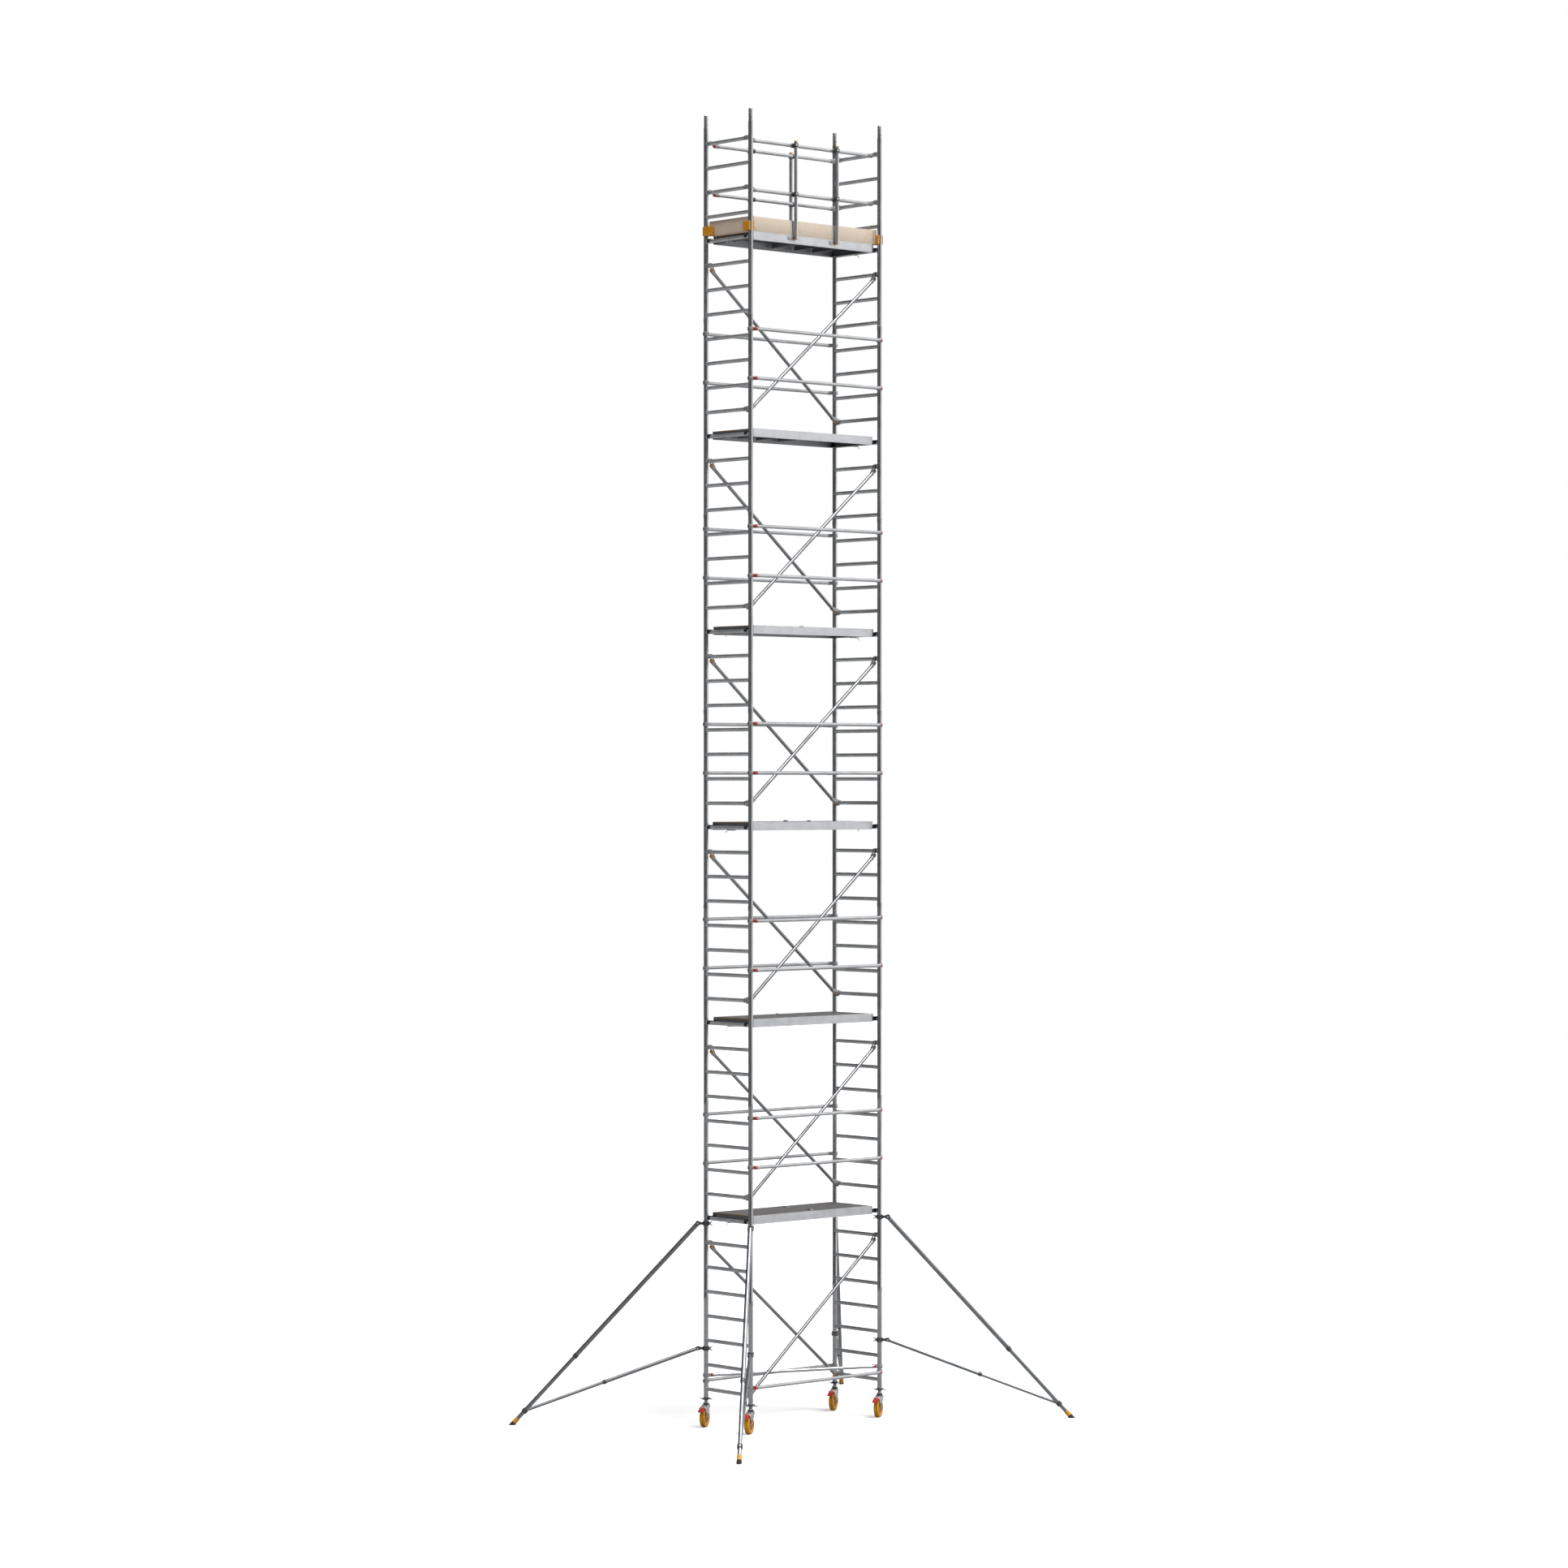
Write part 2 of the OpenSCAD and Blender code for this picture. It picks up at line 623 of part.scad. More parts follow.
// The foot pedal of the brake, with the shoe that it presses on the tread
module castor_brake(i) {
    w = fork_gap - 4;
    color("red") at_castor(i) translate([brake_x, 0, brake_z]) difference() {
        union() {
            translate([0, w / 2, 0]) rotate([90, 0, 0]) cylinder(r = 8, h = w);
            rotate([0, -18, 0]) translate([-88, 1 - w / 2, -4]) cube([82, w - 2, 8]);
            translate([-20, 8 - w / 2, -20]) cube([8, w - 16, 16]);
        }
        translate([0, w, 0]) rotate([90, 0, 0]) cylinder(r = brake_pin_r + pin_fit, h = 2 * w);
    }
}

// Places children at a stabiliser: its post is the Z axis and it points along +X
module at_stabiliser(i) {
    translate(corner_pos(i)) rotate([0, 0, corner_angle(i)]) children();
}

// Half coupler around a post with a keeper, a bolt and a wing nut; the stub leaves along +X
module post_clamp(z) {
    ring_r = post_r + clamp_t;
    bolt_x = -ring_r - 3;
    translate([0, 0, z]) {
        difference() {
            union() {
                translate([0, 0, -clamp_h / 2]) cylinder(r = ring_r, h = clamp_h);
                rotate([0, 90, 0]) cylinder(r = 16, h = elbow_x);
                translate([bolt_x - 14, -15, -13]) cube([24, 30, 26]);
            }
            translate([0, 0, -clamp_h]) cylinder(r = post_r + slip, h = 2 * clamp_h);
            translate([-2 * ring_r - 20, -1.5, -clamp_h]) cube([2 * ring_r, 3, 2 * clamp_h]);
            translate([bolt_x - 4, 40, 0]) rotate([90, 0, 0]) cylinder(r = 5.5, h = 80);
        }
        translate([bolt_x - 4, 42, 0]) rotate([90, 0, 0]) cylinder(r = 5, h = 62);
        translate([bolt_x - 4, 24, 0]) rotate([90, 0, 0]) cylinder(r = 9, h = 8.5);
        for (s = [-1, 1]) translate([bolt_x - 7 + s * 10, 15.5, -4]) cube([6, 26, 8]);
    }
}

module stabiliser_arm(i) {
    ring_r = inner_d / 2 + 8;
    lower_outer = lower_run * lower_outer_share;
    lower_inner = lower_outer - 250;
    lower_stop = lower_run - ring_r + 3;
    color("lightgray") at_stabiliser(i) {
        post_clamp(upper_clamp_z);
        post_clamp(lower_clamp_z);
        // main outer tube, starting at the elbow
        difference() {
            translate([strut_top[0], 0, strut_top[1]]) {
                sphere(r = strut_d / 2 + 1);
                rotate([0, 90 + strut_tilt, 0]) cylinder(d = strut_d, h = strut_length);
            }
            translate([strut_top[0], 0, strut_top[1]]) rotate([0, 90 + strut_tilt, 0])
                translate([0, 0, 40]) cylinder(d = inner_d + 2 * slip, h = strut_length);
        }
        // lower brace: an outer tube, an inner tube and the coupling on the leg
        translate([lower_start[0], 0, lower_start[1]]) {
            sphere(d = brace_outer_d + 2);
            rotate([0, 90 + lower_tilt, 0]) difference() {
                cylinder(d = brace_outer_d, h = lower_outer);
                translate([0, 0, 30]) cylinder(d = brace_inner_d + 2 * slip, h = lower_outer);
            }
        }
        difference() {
            union() {
                translate([lower_start[0], 0, lower_start[1]]) rotate([0, 90 + lower_tilt, 0])
                    translate([0, 0, lower_inner])
                        cylinder(d = brace_inner_d, h = lower_stop - lower_inner);
                translate([coupling[0], 0, coupling[1]]) rotate([0, 90 + strut_tilt, 0])
                    translate([0, 0, -22]) cylinder(r = ring_r, h = 44);
            }
            translate([coupling[0], 0, coupling[1]]) rotate([0, 90 + strut_tilt, 0])
                translate([0, 0, -coupling_back / 2]) cylinder(d = inner_d + 2 * slip, h = coupling_back);
        }
    }
}

// The inner tube that slides in the arm
module stabiliser_leg(i) {
    length = strut_run - strut_length - foot_l + leg_overlap;
    start = strut_length - leg_overlap;
    color("whitesmoke") at_stabiliser(i) translate([strut_top[0], 0, strut_top[1]])
        rotate([0, 90 + strut_tilt, 0]) translate([0, 0, start]) tube(inner_d, 2.5, length - weld_gap);
}

// Rubber foot, cut flat where it stands on the floor
module stabiliser_foot(i) {
    cap_h = 45;
    foot_r = inner_d / 2 + 5;
    color("orange") at_stabiliser(i) difference() {
        translate([strut_foot[0], 0, strut_foot[1]]) rotate([0, 90 + strut_tilt, 0])
            translate([0, 0, -foot_l - cap_h]) difference() {
                cylinder(r = foot_r, h = foot_l + cap_h + 60);
                translate([0, 0, -1]) cylinder(d = inner_d + 2 * slip, h = cap_h + 1);
            }
        translate([strut_foot[0] - 200, -100, -200]) cube([400, 200, 200]);
    }
}

base_frames();
upper_frames(1);  // upper_frames_1
upper_frames(2);  // upper_frames_2
upper_frames(3);  // upper_frames_3
upper_frames(4);  // upper_frames_4
upper_frames(5);  // upper_frames_5
upper_frames(6);  // upper_frames_6
lock_buttons();
platform(1);  // platform_1
platform(2);  // platform_2
platform(3);  // platform_3
platform(4);  // platform_4
platform(5);  // platform_5
platform(6);  // platform_6
deck_boards();
hatch(1);  // hatch_1
hatch(2);  // hatch_2
hatch(3);  // hatch_3
hatch(4);  // hatch_4
hatch(5);  // hatch_5
hatch(6);  // hatch_6
wind_hooks();
diagonal_braces();
guard_rails();
red_caps();
orange_caps();
guard_posts();
toe_boards();
jack_leg(1);  // jack_leg_1
jack_leg(2);  // jack_leg_2
jack_leg(3);  // jack_leg_3
jack_leg(4);  // jack_leg_4
jack_nut(1);  // jack_nut_1
jack_nut(2);  // jack_nut_2
jack_nut(3);  // jack_nut_3
jack_nut(4);  // jack_nut_4
castor_fork(1);  // castor_fork_1
castor_fork(2);  // castor_fork_2
castor_fork(3);  // castor_fork_3
castor_fork(4);  // castor_fork_4
castor_wheel(1);  // castor_wheel_1
castor_wheel(2);  // castor_wheel_2
castor_wheel(3);  // castor_wheel_3
castor_wheel(4);  // castor_wheel_4
castor_brake(1);  // castor_brake_1
castor_brake(2);  // castor_brake_2
castor_brake(3);  // castor_brake_3
castor_brake(4);  // castor_brake_4
stabiliser_arm(1);  // stabiliser_arm_1
stabiliser_arm(2);  // stabiliser_arm_2
stabiliser_arm(3);  // stabiliser_arm_3
stabiliser_arm(4);  // stabiliser_arm_4
stabiliser_leg(1);  // stabiliser_leg_1
stabiliser_leg(2);  // stabiliser_leg_2
stabiliser_leg(3);  // stabiliser_leg_3
stabiliser_leg(4);  // stabiliser_leg_4
stabiliser_foot(1);  // stabiliser_foot_1
stabiliser_foot(2);  // stabiliser_foot_2
stabiliser_foot(3);  // stabiliser_foot_3
stabiliser_foot(4);  // stabiliser_foot_4
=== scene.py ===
import json
import math
import random

import bmesh
import bpy
import numpy as np
from mathutils import Matrix, Vector

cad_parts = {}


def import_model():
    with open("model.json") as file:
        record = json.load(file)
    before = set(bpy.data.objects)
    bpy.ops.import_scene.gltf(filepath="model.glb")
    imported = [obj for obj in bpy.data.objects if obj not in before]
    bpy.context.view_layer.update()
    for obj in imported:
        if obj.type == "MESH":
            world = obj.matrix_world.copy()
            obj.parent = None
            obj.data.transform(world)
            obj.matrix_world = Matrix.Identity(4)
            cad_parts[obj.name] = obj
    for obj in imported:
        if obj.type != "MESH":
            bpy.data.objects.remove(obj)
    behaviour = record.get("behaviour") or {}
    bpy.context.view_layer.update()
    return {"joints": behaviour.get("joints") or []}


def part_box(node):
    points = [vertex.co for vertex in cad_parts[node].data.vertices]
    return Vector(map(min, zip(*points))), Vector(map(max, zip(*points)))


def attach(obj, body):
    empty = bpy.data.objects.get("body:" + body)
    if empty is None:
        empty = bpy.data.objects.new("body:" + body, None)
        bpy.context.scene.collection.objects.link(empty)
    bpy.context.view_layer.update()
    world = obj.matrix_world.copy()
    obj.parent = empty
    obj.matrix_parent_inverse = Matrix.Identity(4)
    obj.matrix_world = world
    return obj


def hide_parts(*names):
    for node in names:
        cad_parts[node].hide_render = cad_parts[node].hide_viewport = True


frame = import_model()
random.seed(12)

# ---------------------------------------------------------------- sizes in millimetres, many from the frame

MM = 0.001


def box(node):
    """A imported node's two corners, in millimetres like every size in this script."""
    return [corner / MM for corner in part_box(node)]


LEVELS = 6
LEVEL_RUNGS = 8
BASE_RUNGS = 4
CORNERS = {1: (-1, -1), 2: (1, -1), 3: (1, 1), 4: (-1, 1)}

jack_low, jack_high = box("jack_leg_3")
POST_X = (jack_low.x + jack_high.x) / 2
POST_Y = (jack_low.y + jack_high.y) / 2
base_low, base_high = box("base_frames")
POST_R = base_high.x - POST_X
level_z = [base_low.z] + [box(f"upper_frames_{n}")[0].z for n in range(1, LEVELS + 1)]
PITCH = (level_z[2] - level_z[1]) / LEVEL_RUNGS
BEAM_DROP = 25         # platform beams below the middle of their rung
FOOT = box("platform_1")[0].z + BEAM_DROP - level_z[1] - 3 * PITCH
SPIGOT_RISE = box("upper_frames_6")[1].z - level_z[LEVELS] - LEVEL_RUNGS * PITCH
RUNG_R = 19
RUNG_WALL = 2
TUBE_R = 17.5          # braces and guard rails
WALL = 2.5
DECK_HALF_W = box("platform_6")[1].y
BEAM_TOP = 60          # deck's upper face above the middle of its rung
BEAM_T = 25
HOOK_BAR = 70
PLATFORM_END = POST_X - HOOK_BAR
HINGE_X = 56
HINGE_RISE = 7
HINGE_Y = 180
HOOK_Y = POST_Y - 60
RAIL_OFFSET = 42.5     # side rails, outside the posts
RAIL_SHORT = 20        # ends of the side rails, short of the post's axis
RAIL_LIFT = 60
TOP_RAIL_DROP = 18
BRACE_SHORT = 50
CAP_L = 15
TOP_RUNG = BASE_RUNGS + LEVELS * LEVEL_RUNGS - 1
GUARD_POST_R = 19
GUARD_POST_Y = DECK_HALF_W + GUARD_POST_R + 3
GUARD_POST_X = (-265, 310)
GUARD_POST_LOW = 23
GUARD_POST_L = 995


def rung_z(i):
    return level_z[0] + FOOT + PITCH * i


def corner_post(i):
    sx, sy = CORNERS[i]
    return sx * POST_X, sy * POST_Y


def deck_rung(k):
    return LEVEL_RUNGS * k - 1


FLAT = Matrix(((1, 0, 0, 0), (0, 0, 1, 0), (0, 1, 0, 0), (0, 0, 0, 1)))         # swaps Y and Z
CROSSWISE = Matrix(((0, 1, 0, 0), (1, 0, 0, 0), (0, 0, 1, 0), (0, 0, 0, 1)))    # swaps X and Y


# ---------------------------------------------------------------- shapes


class Shape:
    """Points and faces gathered for one piece, with a material number for each face."""

    def __init__(self):
        self.points, self.faces, self.slots, self.count = [], [], [], 0

    def add(self, points, faces, slot=0, place=None):
        """Points in millimetres, and faces that number them."""
        points = np.array([tuple(p) for p in points], float).reshape(-1, 3)
        return self.join(points * MM, faces, slot, place)

    def join(self, points, faces, slot=0, place=None):
        """Points in metres, moved by a matrix. A mirrored place turns its faces round."""
        flip = False
        if place is not None:
            m = np.array(place, float)
            points = points @ m[:3, :3].T + m[:3, 3]
            flip = np.linalg.det(m[:3, :3]) < 0
        start = self.count
        for face in faces:
            moved = [start + n for n in face]
            self.faces.append(moved[::-1] if flip else moved)
        self.slots += [slot] * len(faces) if isinstance(slot, int) else slot
        self.points.append(points)
        self.count += len(points)
        return self

    def put(self, other, place=None):
        """A copy of another shape, moved by a matrix."""
        return self.join(np.concatenate(other.points), other.faces, list(other.slots), place)

    def piece(self, name, body, materials, slot, replaced=(), sharp=32):
        mesh = bpy.data.meshes.new(name)
        mesh.from_pydata(np.concatenate(self.points).tolist(), [], self.faces)
        for material in materials:
            mesh.materials.append(material)
        mesh.polygons.foreach_set("material_index", self.slots)
        mesh.polygons.foreach_set("use_smooth", [True] * len(mesh.polygons))
        mesh.set_sharp_from_angle(angle=math.radians(sharp))
        mesh.update()
        piece = bpy.data.objects.new(name, mesh)
        bpy.context.scene.collection.objects.link(piece)
        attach(piece, body)
        if replaced:
            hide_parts(*replaced)
        return piece


def at(x=0, y=0, z=0):
    return Matrix.Translation((x * MM, y * MM, z * MM))


def turn(degrees, axis):
    return Matrix.Rotation(math.radians(degrees), 4, axis)


def along(start, end):
    """A frame at start whose Z points to end."""
    direction = Vector(end) - Vector(start)
    return at(*start) @ direction.to_track_quat("Z", "Y").to_matrix().to_4x4()


def rings(rows, sides, closed_rows=False):
    """Faces between rows of points, each row a closed ring."""
    faces = []
    count = len(rows)
    for a in range(count if closed_rows else count - 1):
        b = (a + 1) % count
        for s in range(sides):
            t = (s + 1) % sides
            faces.append((a * sides + s, a * sides + t, b * sides + t, b * sides + s))
    return faces


def lathe(shape, profile, place=None, sides=32, slot=0, closed=False):
    """Turns (radius, height) points around Z. A row on the axis closes the shape."""
    points, faces, rows = [], [], []
    for radius, height in profile:
        if radius <= 0:
            rows.append((len(points), 1))
            points.append((0, 0, height))
            continue
        rows.append((len(points), sides))
        points += [(radius * math.cos(2 * math.pi * s / sides),
                    radius * math.sin(2 * math.pi * s / sides), height) for s in range(sides)]
    pairs = list(zip(rows, rows[1:]))
    if closed:
        pairs.append((rows[-1], rows[0]))
    for (a, na), (b, nb) in pairs:
        for s in range(sides):
            t = (s + 1) % sides
            if na == 1:
                faces.append((a, b + t, b + s))
            elif nb == 1:
                faces.append((a + s, a + t, b))
            else:
                faces.append((a + s, a + t, b + t, b + s))
    return shape.add(points, faces, slot, place)


def bevelled(mesh_data, width, segments):
    edges = [e for e in mesh_data.edges if e.calc_face_angle(0) > math.radians(25)]
    bmesh.ops.bevel(mesh_data, geom=edges, offset=width * MM, offset_type="OFFSET",
                    segments=segments, profile=0.5, affect="EDGES", clamp_overlap=True)


def from_bmesh(shape, mesh_data, slot, place):
    mesh_data.verts.ensure_lookup_table()
    mesh_data.verts.index_update()
    points = np.array([tuple(v.co) for v in mesh_data.verts], float)
    faces = [[v.index for v in f.verts] for f in mesh_data.faces]
    mesh_data.free()
    return shape.join(points, faces, slot, place)


def block(shape, low, high, place=None, slot=0, ease=1.5, segments=2):
    """A box between two corners with rounded edges."""
    mesh_data = bmesh.new()
    bmesh.ops.create_cube(mesh_data, size=1)
    for v in mesh_data.verts:
        v.co = Vector((low[n] if v.co[n] < 0 else high[n] for n in range(3))) * MM
    bevelled(mesh_data, ease, segments)
    return from_bmesh(shape, mesh_data, slot, place)


def prism(shape, outline, low, high, place=None, slot=0, ease=1.5, segments=2, holes=()):
    """An outline in XZ pushed along Y from low to high, its edges rounded."""
    mesh_data = bmesh.new()
    loops = [outline, *holes]
    for loop in loops:
        verts = [mesh_data.verts.new((x * MM, low * MM, z * MM)) for x, z in loop]
        for a, b in zip(verts, verts[1:] + verts[:1]):
            mesh_data.edges.new((a, b))
    bmesh.ops.triangle_fill(mesh_data, use_beauty=True, use_dissolve=True, edges=mesh_data.edges[:])
    faces = mesh_data.faces[:]
    grown = bmesh.ops.extrude_face_region(mesh_data, geom=faces, use_keep_orig=True)
    for v in grown["geom"]:
        if isinstance(v, bmesh.types.BMVert):
            v.co.y = high * MM
    bmesh.ops.recalc_face_normals(mesh_data, faces=mesh_data.faces[:])
    edges = [e for e in mesh_data.edges
             if len(e.link_faces) == 2 and e.calc_face_angle(0) > math.radians(60)]
    if ease:
        bmesh.ops.bevel(mesh_data, geom=edges, offset=ease * MM, segments=segments, profile=0.5,
                        affect="EDGES", clamp_overlap=True)
    return from_bmesh(shape, mesh_data, slot, place)


def arc(centre, radius, first, last, steps=10):
    """Points on an arc, in degrees."""
    return [(centre[0] + radius * math.cos(math.radians(first + (last - first) * n / steps)),
             centre[1] + radius * math.sin(math.radians(first + (last - first) * n / steps)))
            for n in range(steps + 1)]


def rod(shape, path, radius, slot=0, sides=12, place=None):
    """A round bar along a path, with domed ends."""
    path = [Vector(p) for p in path]
    rows = []
    side = None
    for n, p in enumerate(path):
        direction = (path[min(n + 1, len(path) - 1)] - path[max(n - 1, 0)]).normalized()
        if side is None:
            side = direction.orthogonal().normalized()
        side = (side - direction * side.dot(direction)).normalized()
        other = direction.cross(side)
        rows.append([(p, radius, side, other)])
    first, last = path[0], path[-1]
    into = (path[1] - first).normalized()
    out = (last - path[-2]).normalized()
    rows.insert(0, [(first - into * radius * 0.45, radius * 0.72, rows[0][0][2], rows[0][0][3])])
    rows.append([(last + out * radius * 0.45, radius * 0.72, rows[-1][0][2], rows[-1][0][3])])
    points = []
    for (centre, r, side, other), in rows:
        for s in range(sides):
            a = 2 * math.pi * s / sides
            points.append(centre + side * r * math.cos(a) + other * r * math.sin(a))
    faces = rings(rows, sides)
    faces.append(tuple(reversed(range(sides))))
    faces.append(tuple(range(len(points) - sides, len(points))))
    return shape.add(points, faces, slot, place)


def bolt(shape, place, across=9, height=6, slot=0):
    """A hexagon head with a chamfer and a washer, standing on Z = 0."""
    r = across / math.cos(math.radians(30))
    washer = [(0, 0), (r * 1.25, 0), (r * 1.3, 0.3), (r * 1.3, 1.2), (r * 1.2, 1.5),
              (0, 1.5)]
    lathe(shape, washer, place, 28, slot)
    head = [(0, 1.5), (r, 1.5), (r, 1.3 + height), (r * 0.88, 1.5 + height),
            (0, 1.5 + height)]
    lathe(shape, head, place, 6, slot)
    return shape


def rivet(shape, place, radius=4, height=2, slot=0, sides=14):
    dome = [(0, height)] + [(radius * math.sin(math.radians(a)), height * math.cos(math.radians(a)))
                            for a in (25, 50, 72, 90)]
    return lathe(shape, dome[::-1], place, sides, slot)


# ---------------------------------------------------------------- materials


class Nodes:
    """A small helper that builds one procedural material."""

    def __init__(self, name, metallic=0.0, coat=0.0, specular=0.5):
        self.material = bpy.data.materials.new(name)
        self.material.use_nodes = True
        self.tree = self.material.node_tree
        self.shader = self.tree.nodes["Principled BSDF"]
        self.shader.inputs["Metallic"].default_value = metallic
        self.shader.inputs["Coat Weight"].default_value = coat
        self.shader.inputs["Specular IOR Level"].default_value = specular
        self.where = self.tree.nodes.new("ShaderNodeTexCoord").outputs["Object"]

    def link(self, source, target):
        if hasattr(source, "links"):
            self.tree.links.new(source, target)
        elif isinstance(source, (tuple, list)):
            target.default_value = (*source, 1)[:4] if len(source) == 3 else source
        else:
            target.default_value = source

    def place(self, scale=(1, 1, 1), turned=(0, 0, 0)):
        node = self.tree.nodes.new("ShaderNodeMapping")
        node.inputs["Scale"].default_value = scale
        node.inputs["Rotation"].default_value = [math.radians(a) for a in turned]
        self.link(self.where, node.inputs["Vector"])
        return node.outputs["Vector"]

    def noise(self, scale, detail=4, rough=0.55, vector=None, distortion=0.0):
        node = self.tree.nodes.new("ShaderNodeTexNoise")
        node.inputs["Scale"].default_value = scale
        node.inputs["Detail"].default_value = detail
        node.inputs["Roughness"].default_value = rough
        node.inputs["Distortion"].default_value = distortion
        self.link(vector or self.where, node.inputs["Vector"])
        return node.outputs["Fac"]

    def cells(self, scale, vector=None, feature="F1", output="Distance", jitter=1.0):
        node = self.tree.nodes.new("ShaderNodeTexVoronoi")
        node.feature = feature
        node.inputs["Scale"].default_value = scale
        node.inputs["Randomness"].default_value = jitter
        self.link(vector or self.where, node.inputs["Vector"])
        return node.outputs[output]

    def wave(self, scale, vector=None, kind="RINGS", axis="X", distortion=0.0, detail=2, profile="SIN"):
        node = self.tree.nodes.new("ShaderNodeTexWave")
        node.wave_type = kind
        node.wave_profile = profile
        if kind == "BANDS":
            node.bands_direction = axis
        else:
            node.rings_direction = axis
        node.inputs["Scale"].default_value = scale
        node.inputs["Distortion"].default_value = distortion
        node.inputs["Detail"].default_value = detail
        self.link(vector or self.where, node.inputs["Vector"])
        return node.outputs["Fac"]

    def ramp(self, value, stops):
        node = self.tree.nodes.new("ShaderNodeValToRGB")
        self.link(value, node.inputs["Fac"])
        elements = node.color_ramp.elements
        while len(elements) < len(stops):
            elements.new(0.5)
        for element, (where, colour) in zip(elements, stops):
            element.position = where
            element.color = (*colour, 1) if len(colour) == 3 else colour
        return node.outputs["Color"]

    def range(self, value, low, high, start=0.0, end=1.0):
        node = self.tree.nodes.new("ShaderNodeMapRange")
        self.link(value, node.inputs["Value"])
        node.inputs["From Min"].default_value = start
        node.inputs["From Max"].default_value = end
        node.inputs["To Min"].default_value = low
        node.inputs["To Max"].default_value = high
        return node.outputs["Result"]

    def mix(self, share, first, second, blend="MIX"):
        node = self.tree.nodes.new("ShaderNodeMix")
        node.data_type = "RGBA"
        node.blend_type = blend
        self.link(share, node.inputs["Factor"])
        self.link(first, node.inputs[6])
        self.link(second, node.inputs[7])
        return node.outputs[2]

    def maths(self, operation, first, second=0.0):
        node = self.tree.nodes.new("ShaderNodeMath")
        node.operation = operation
        self.link(first, node.inputs[0])
        self.link(second, node.inputs[1])
        return node.outputs[0]

    def bump(self, height, strength, distance, under=None):
        node = self.tree.nodes.new("ShaderNodeBump")
        node.inputs["Strength"].default_value = strength
        node.inputs["Distance"].default_value = distance
        self.link(height, node.inputs["Height"])
        if under is not None:
            self.link(under, node.inputs["Normal"])
        return node.outputs["Normal"]

    def done(self, colour, rough, normal=None):
        self.link(colour, self.shader.inputs["Base Color"])
        self.link(rough, self.shader.inputs["Roughness"])
        if normal is not None:
            self.link(normal, self.shader.inputs["Normal"])
        return self.material


def scaled(colour, share):
    return tuple(min(1.0, channel * share) for channel in colour)


def drawn_metal(name, colour, rough, axis="Z", marks=0.5, metallic=1.0):
    """Extruded or drawn tube: fine lines along its axis, dull handling marks and a few scuffs."""
    m = Nodes(name, metallic)
    fine, slow = 900, 6
    scale = {"X": (slow, fine, fine), "Y": (fine, slow, fine), "Z": (fine, fine, slow)}[axis]
    lines = m.noise(1, 3, 0.6, m.place(scale))
    clouds = m.noise(7, 5, 0.6)
    scuffs = m.range(m.noise(55, 6, 0.75, distortion=0.6), 0, 1, 0.56, 0.72)
    tone = m.ramp(clouds, [(0.3, scaled(colour, 0.86)), (0.5, colour), (0.72, scaled(colour, 1.12))])
    tone = m.mix(m.range(lines, 0, 0.3), tone, scaled(colour, 0.7))
    tone = m.mix(m.maths("MULTIPLY", scuffs, marks * 0.5), tone, scaled(colour, 0.55))
    gloss = m.maths("ADD", m.range(lines, rough - 0.06, rough + 0.08), m.range(scuffs, 0, 0.16 * marks))
    gloss = m.maths("ADD", gloss, m.range(clouds, -0.05, 0.07))
    normal = m.bump(lines, 0.12, 0.0004)
    return m.done(tone, gloss, m.bump(scuffs, 0.15, 0.0005, normal))


def cast_metal(name, colour, rough, grain=420, metallic=0.9):
    """Sand-cast or forged metal: a pebbled skin, darker in its hollows."""
    m = Nodes(name, metallic)
    pebbles = m.noise(grain, 4, 0.6)
    stains = m.noise(26, 5, 0.65)
    tone = m.ramp(stains, [(0.3, scaled(colour, 0.7)), (0.55, colour), (0.75, scaled(colour, 1.25))])
    tone = m.mix(m.range(pebbles, 0.0, 0.5, 0.35, 0.7), tone, scaled(colour, 0.6))
    return m.done(tone, m.range(stains, rough - 0.07, rough + 0.12), m.bump(pebbles, 0.4, 0.0008))


def zinc(name, colour, rough):
    """Bright zinc plating with its faint spangle."""
    m = Nodes(name, 1.0)
    spangle = m.cells(260, output="Color")
    cloud = m.noise(20, 5, 0.6)
    tone = m.mix(0.16, m.ramp(cloud, [(0.3, scaled(colour, 0.8)), (0.7, scaled(colour, 1.1))]), spangle,
                 "OVERLAY")
    return m.done(tone, m.range(cloud, rough - 0.06, rough + 0.1), m.bump(m.noise(300, 3), 0.15, 0.0004))


def plastic(name, colour, rough, grain=900, coat=0.1):
    """Moulded plastic: a fine spark-eroded grain, slightly faded and rubbed."""
    m = Nodes(name, 0.0, coat)
    fade = m.noise(18, 4, 0.6)
    rub = m.range(m.noise(140, 5, 0.7, distortion=0.4), 0, 1, 0.58, 0.74)
    pale = tuple(channel * 0.75 + 0.2 for channel in colour)
    tone = m.ramp(fade, [(0.3, scaled(colour, 0.86)), (0.55, colour), (0.8, scaled(colour, 1.1))])
    tone = m.mix(m.maths("MULTIPLY", rub, 0.22), tone, pale)
    return m.done(tone, m.range(rub, rough, rough + 0.15), m.bump(m.noise(grain, 3), 0.25, 0.0004))


def rubber(name, colour):
    m = Nodes(name, 0.0, specular=0.3)
    dust = m.noise(60, 6, 0.7)
    tone = m.ramp(dust, [(0.35, colour), (0.7, tuple(channel + 0.05 for channel in colour))])
    return m.done(tone, m.range(dust, 0.6, 0.85), m.bump(m.noise(500, 4), 0.4, 0.0006))


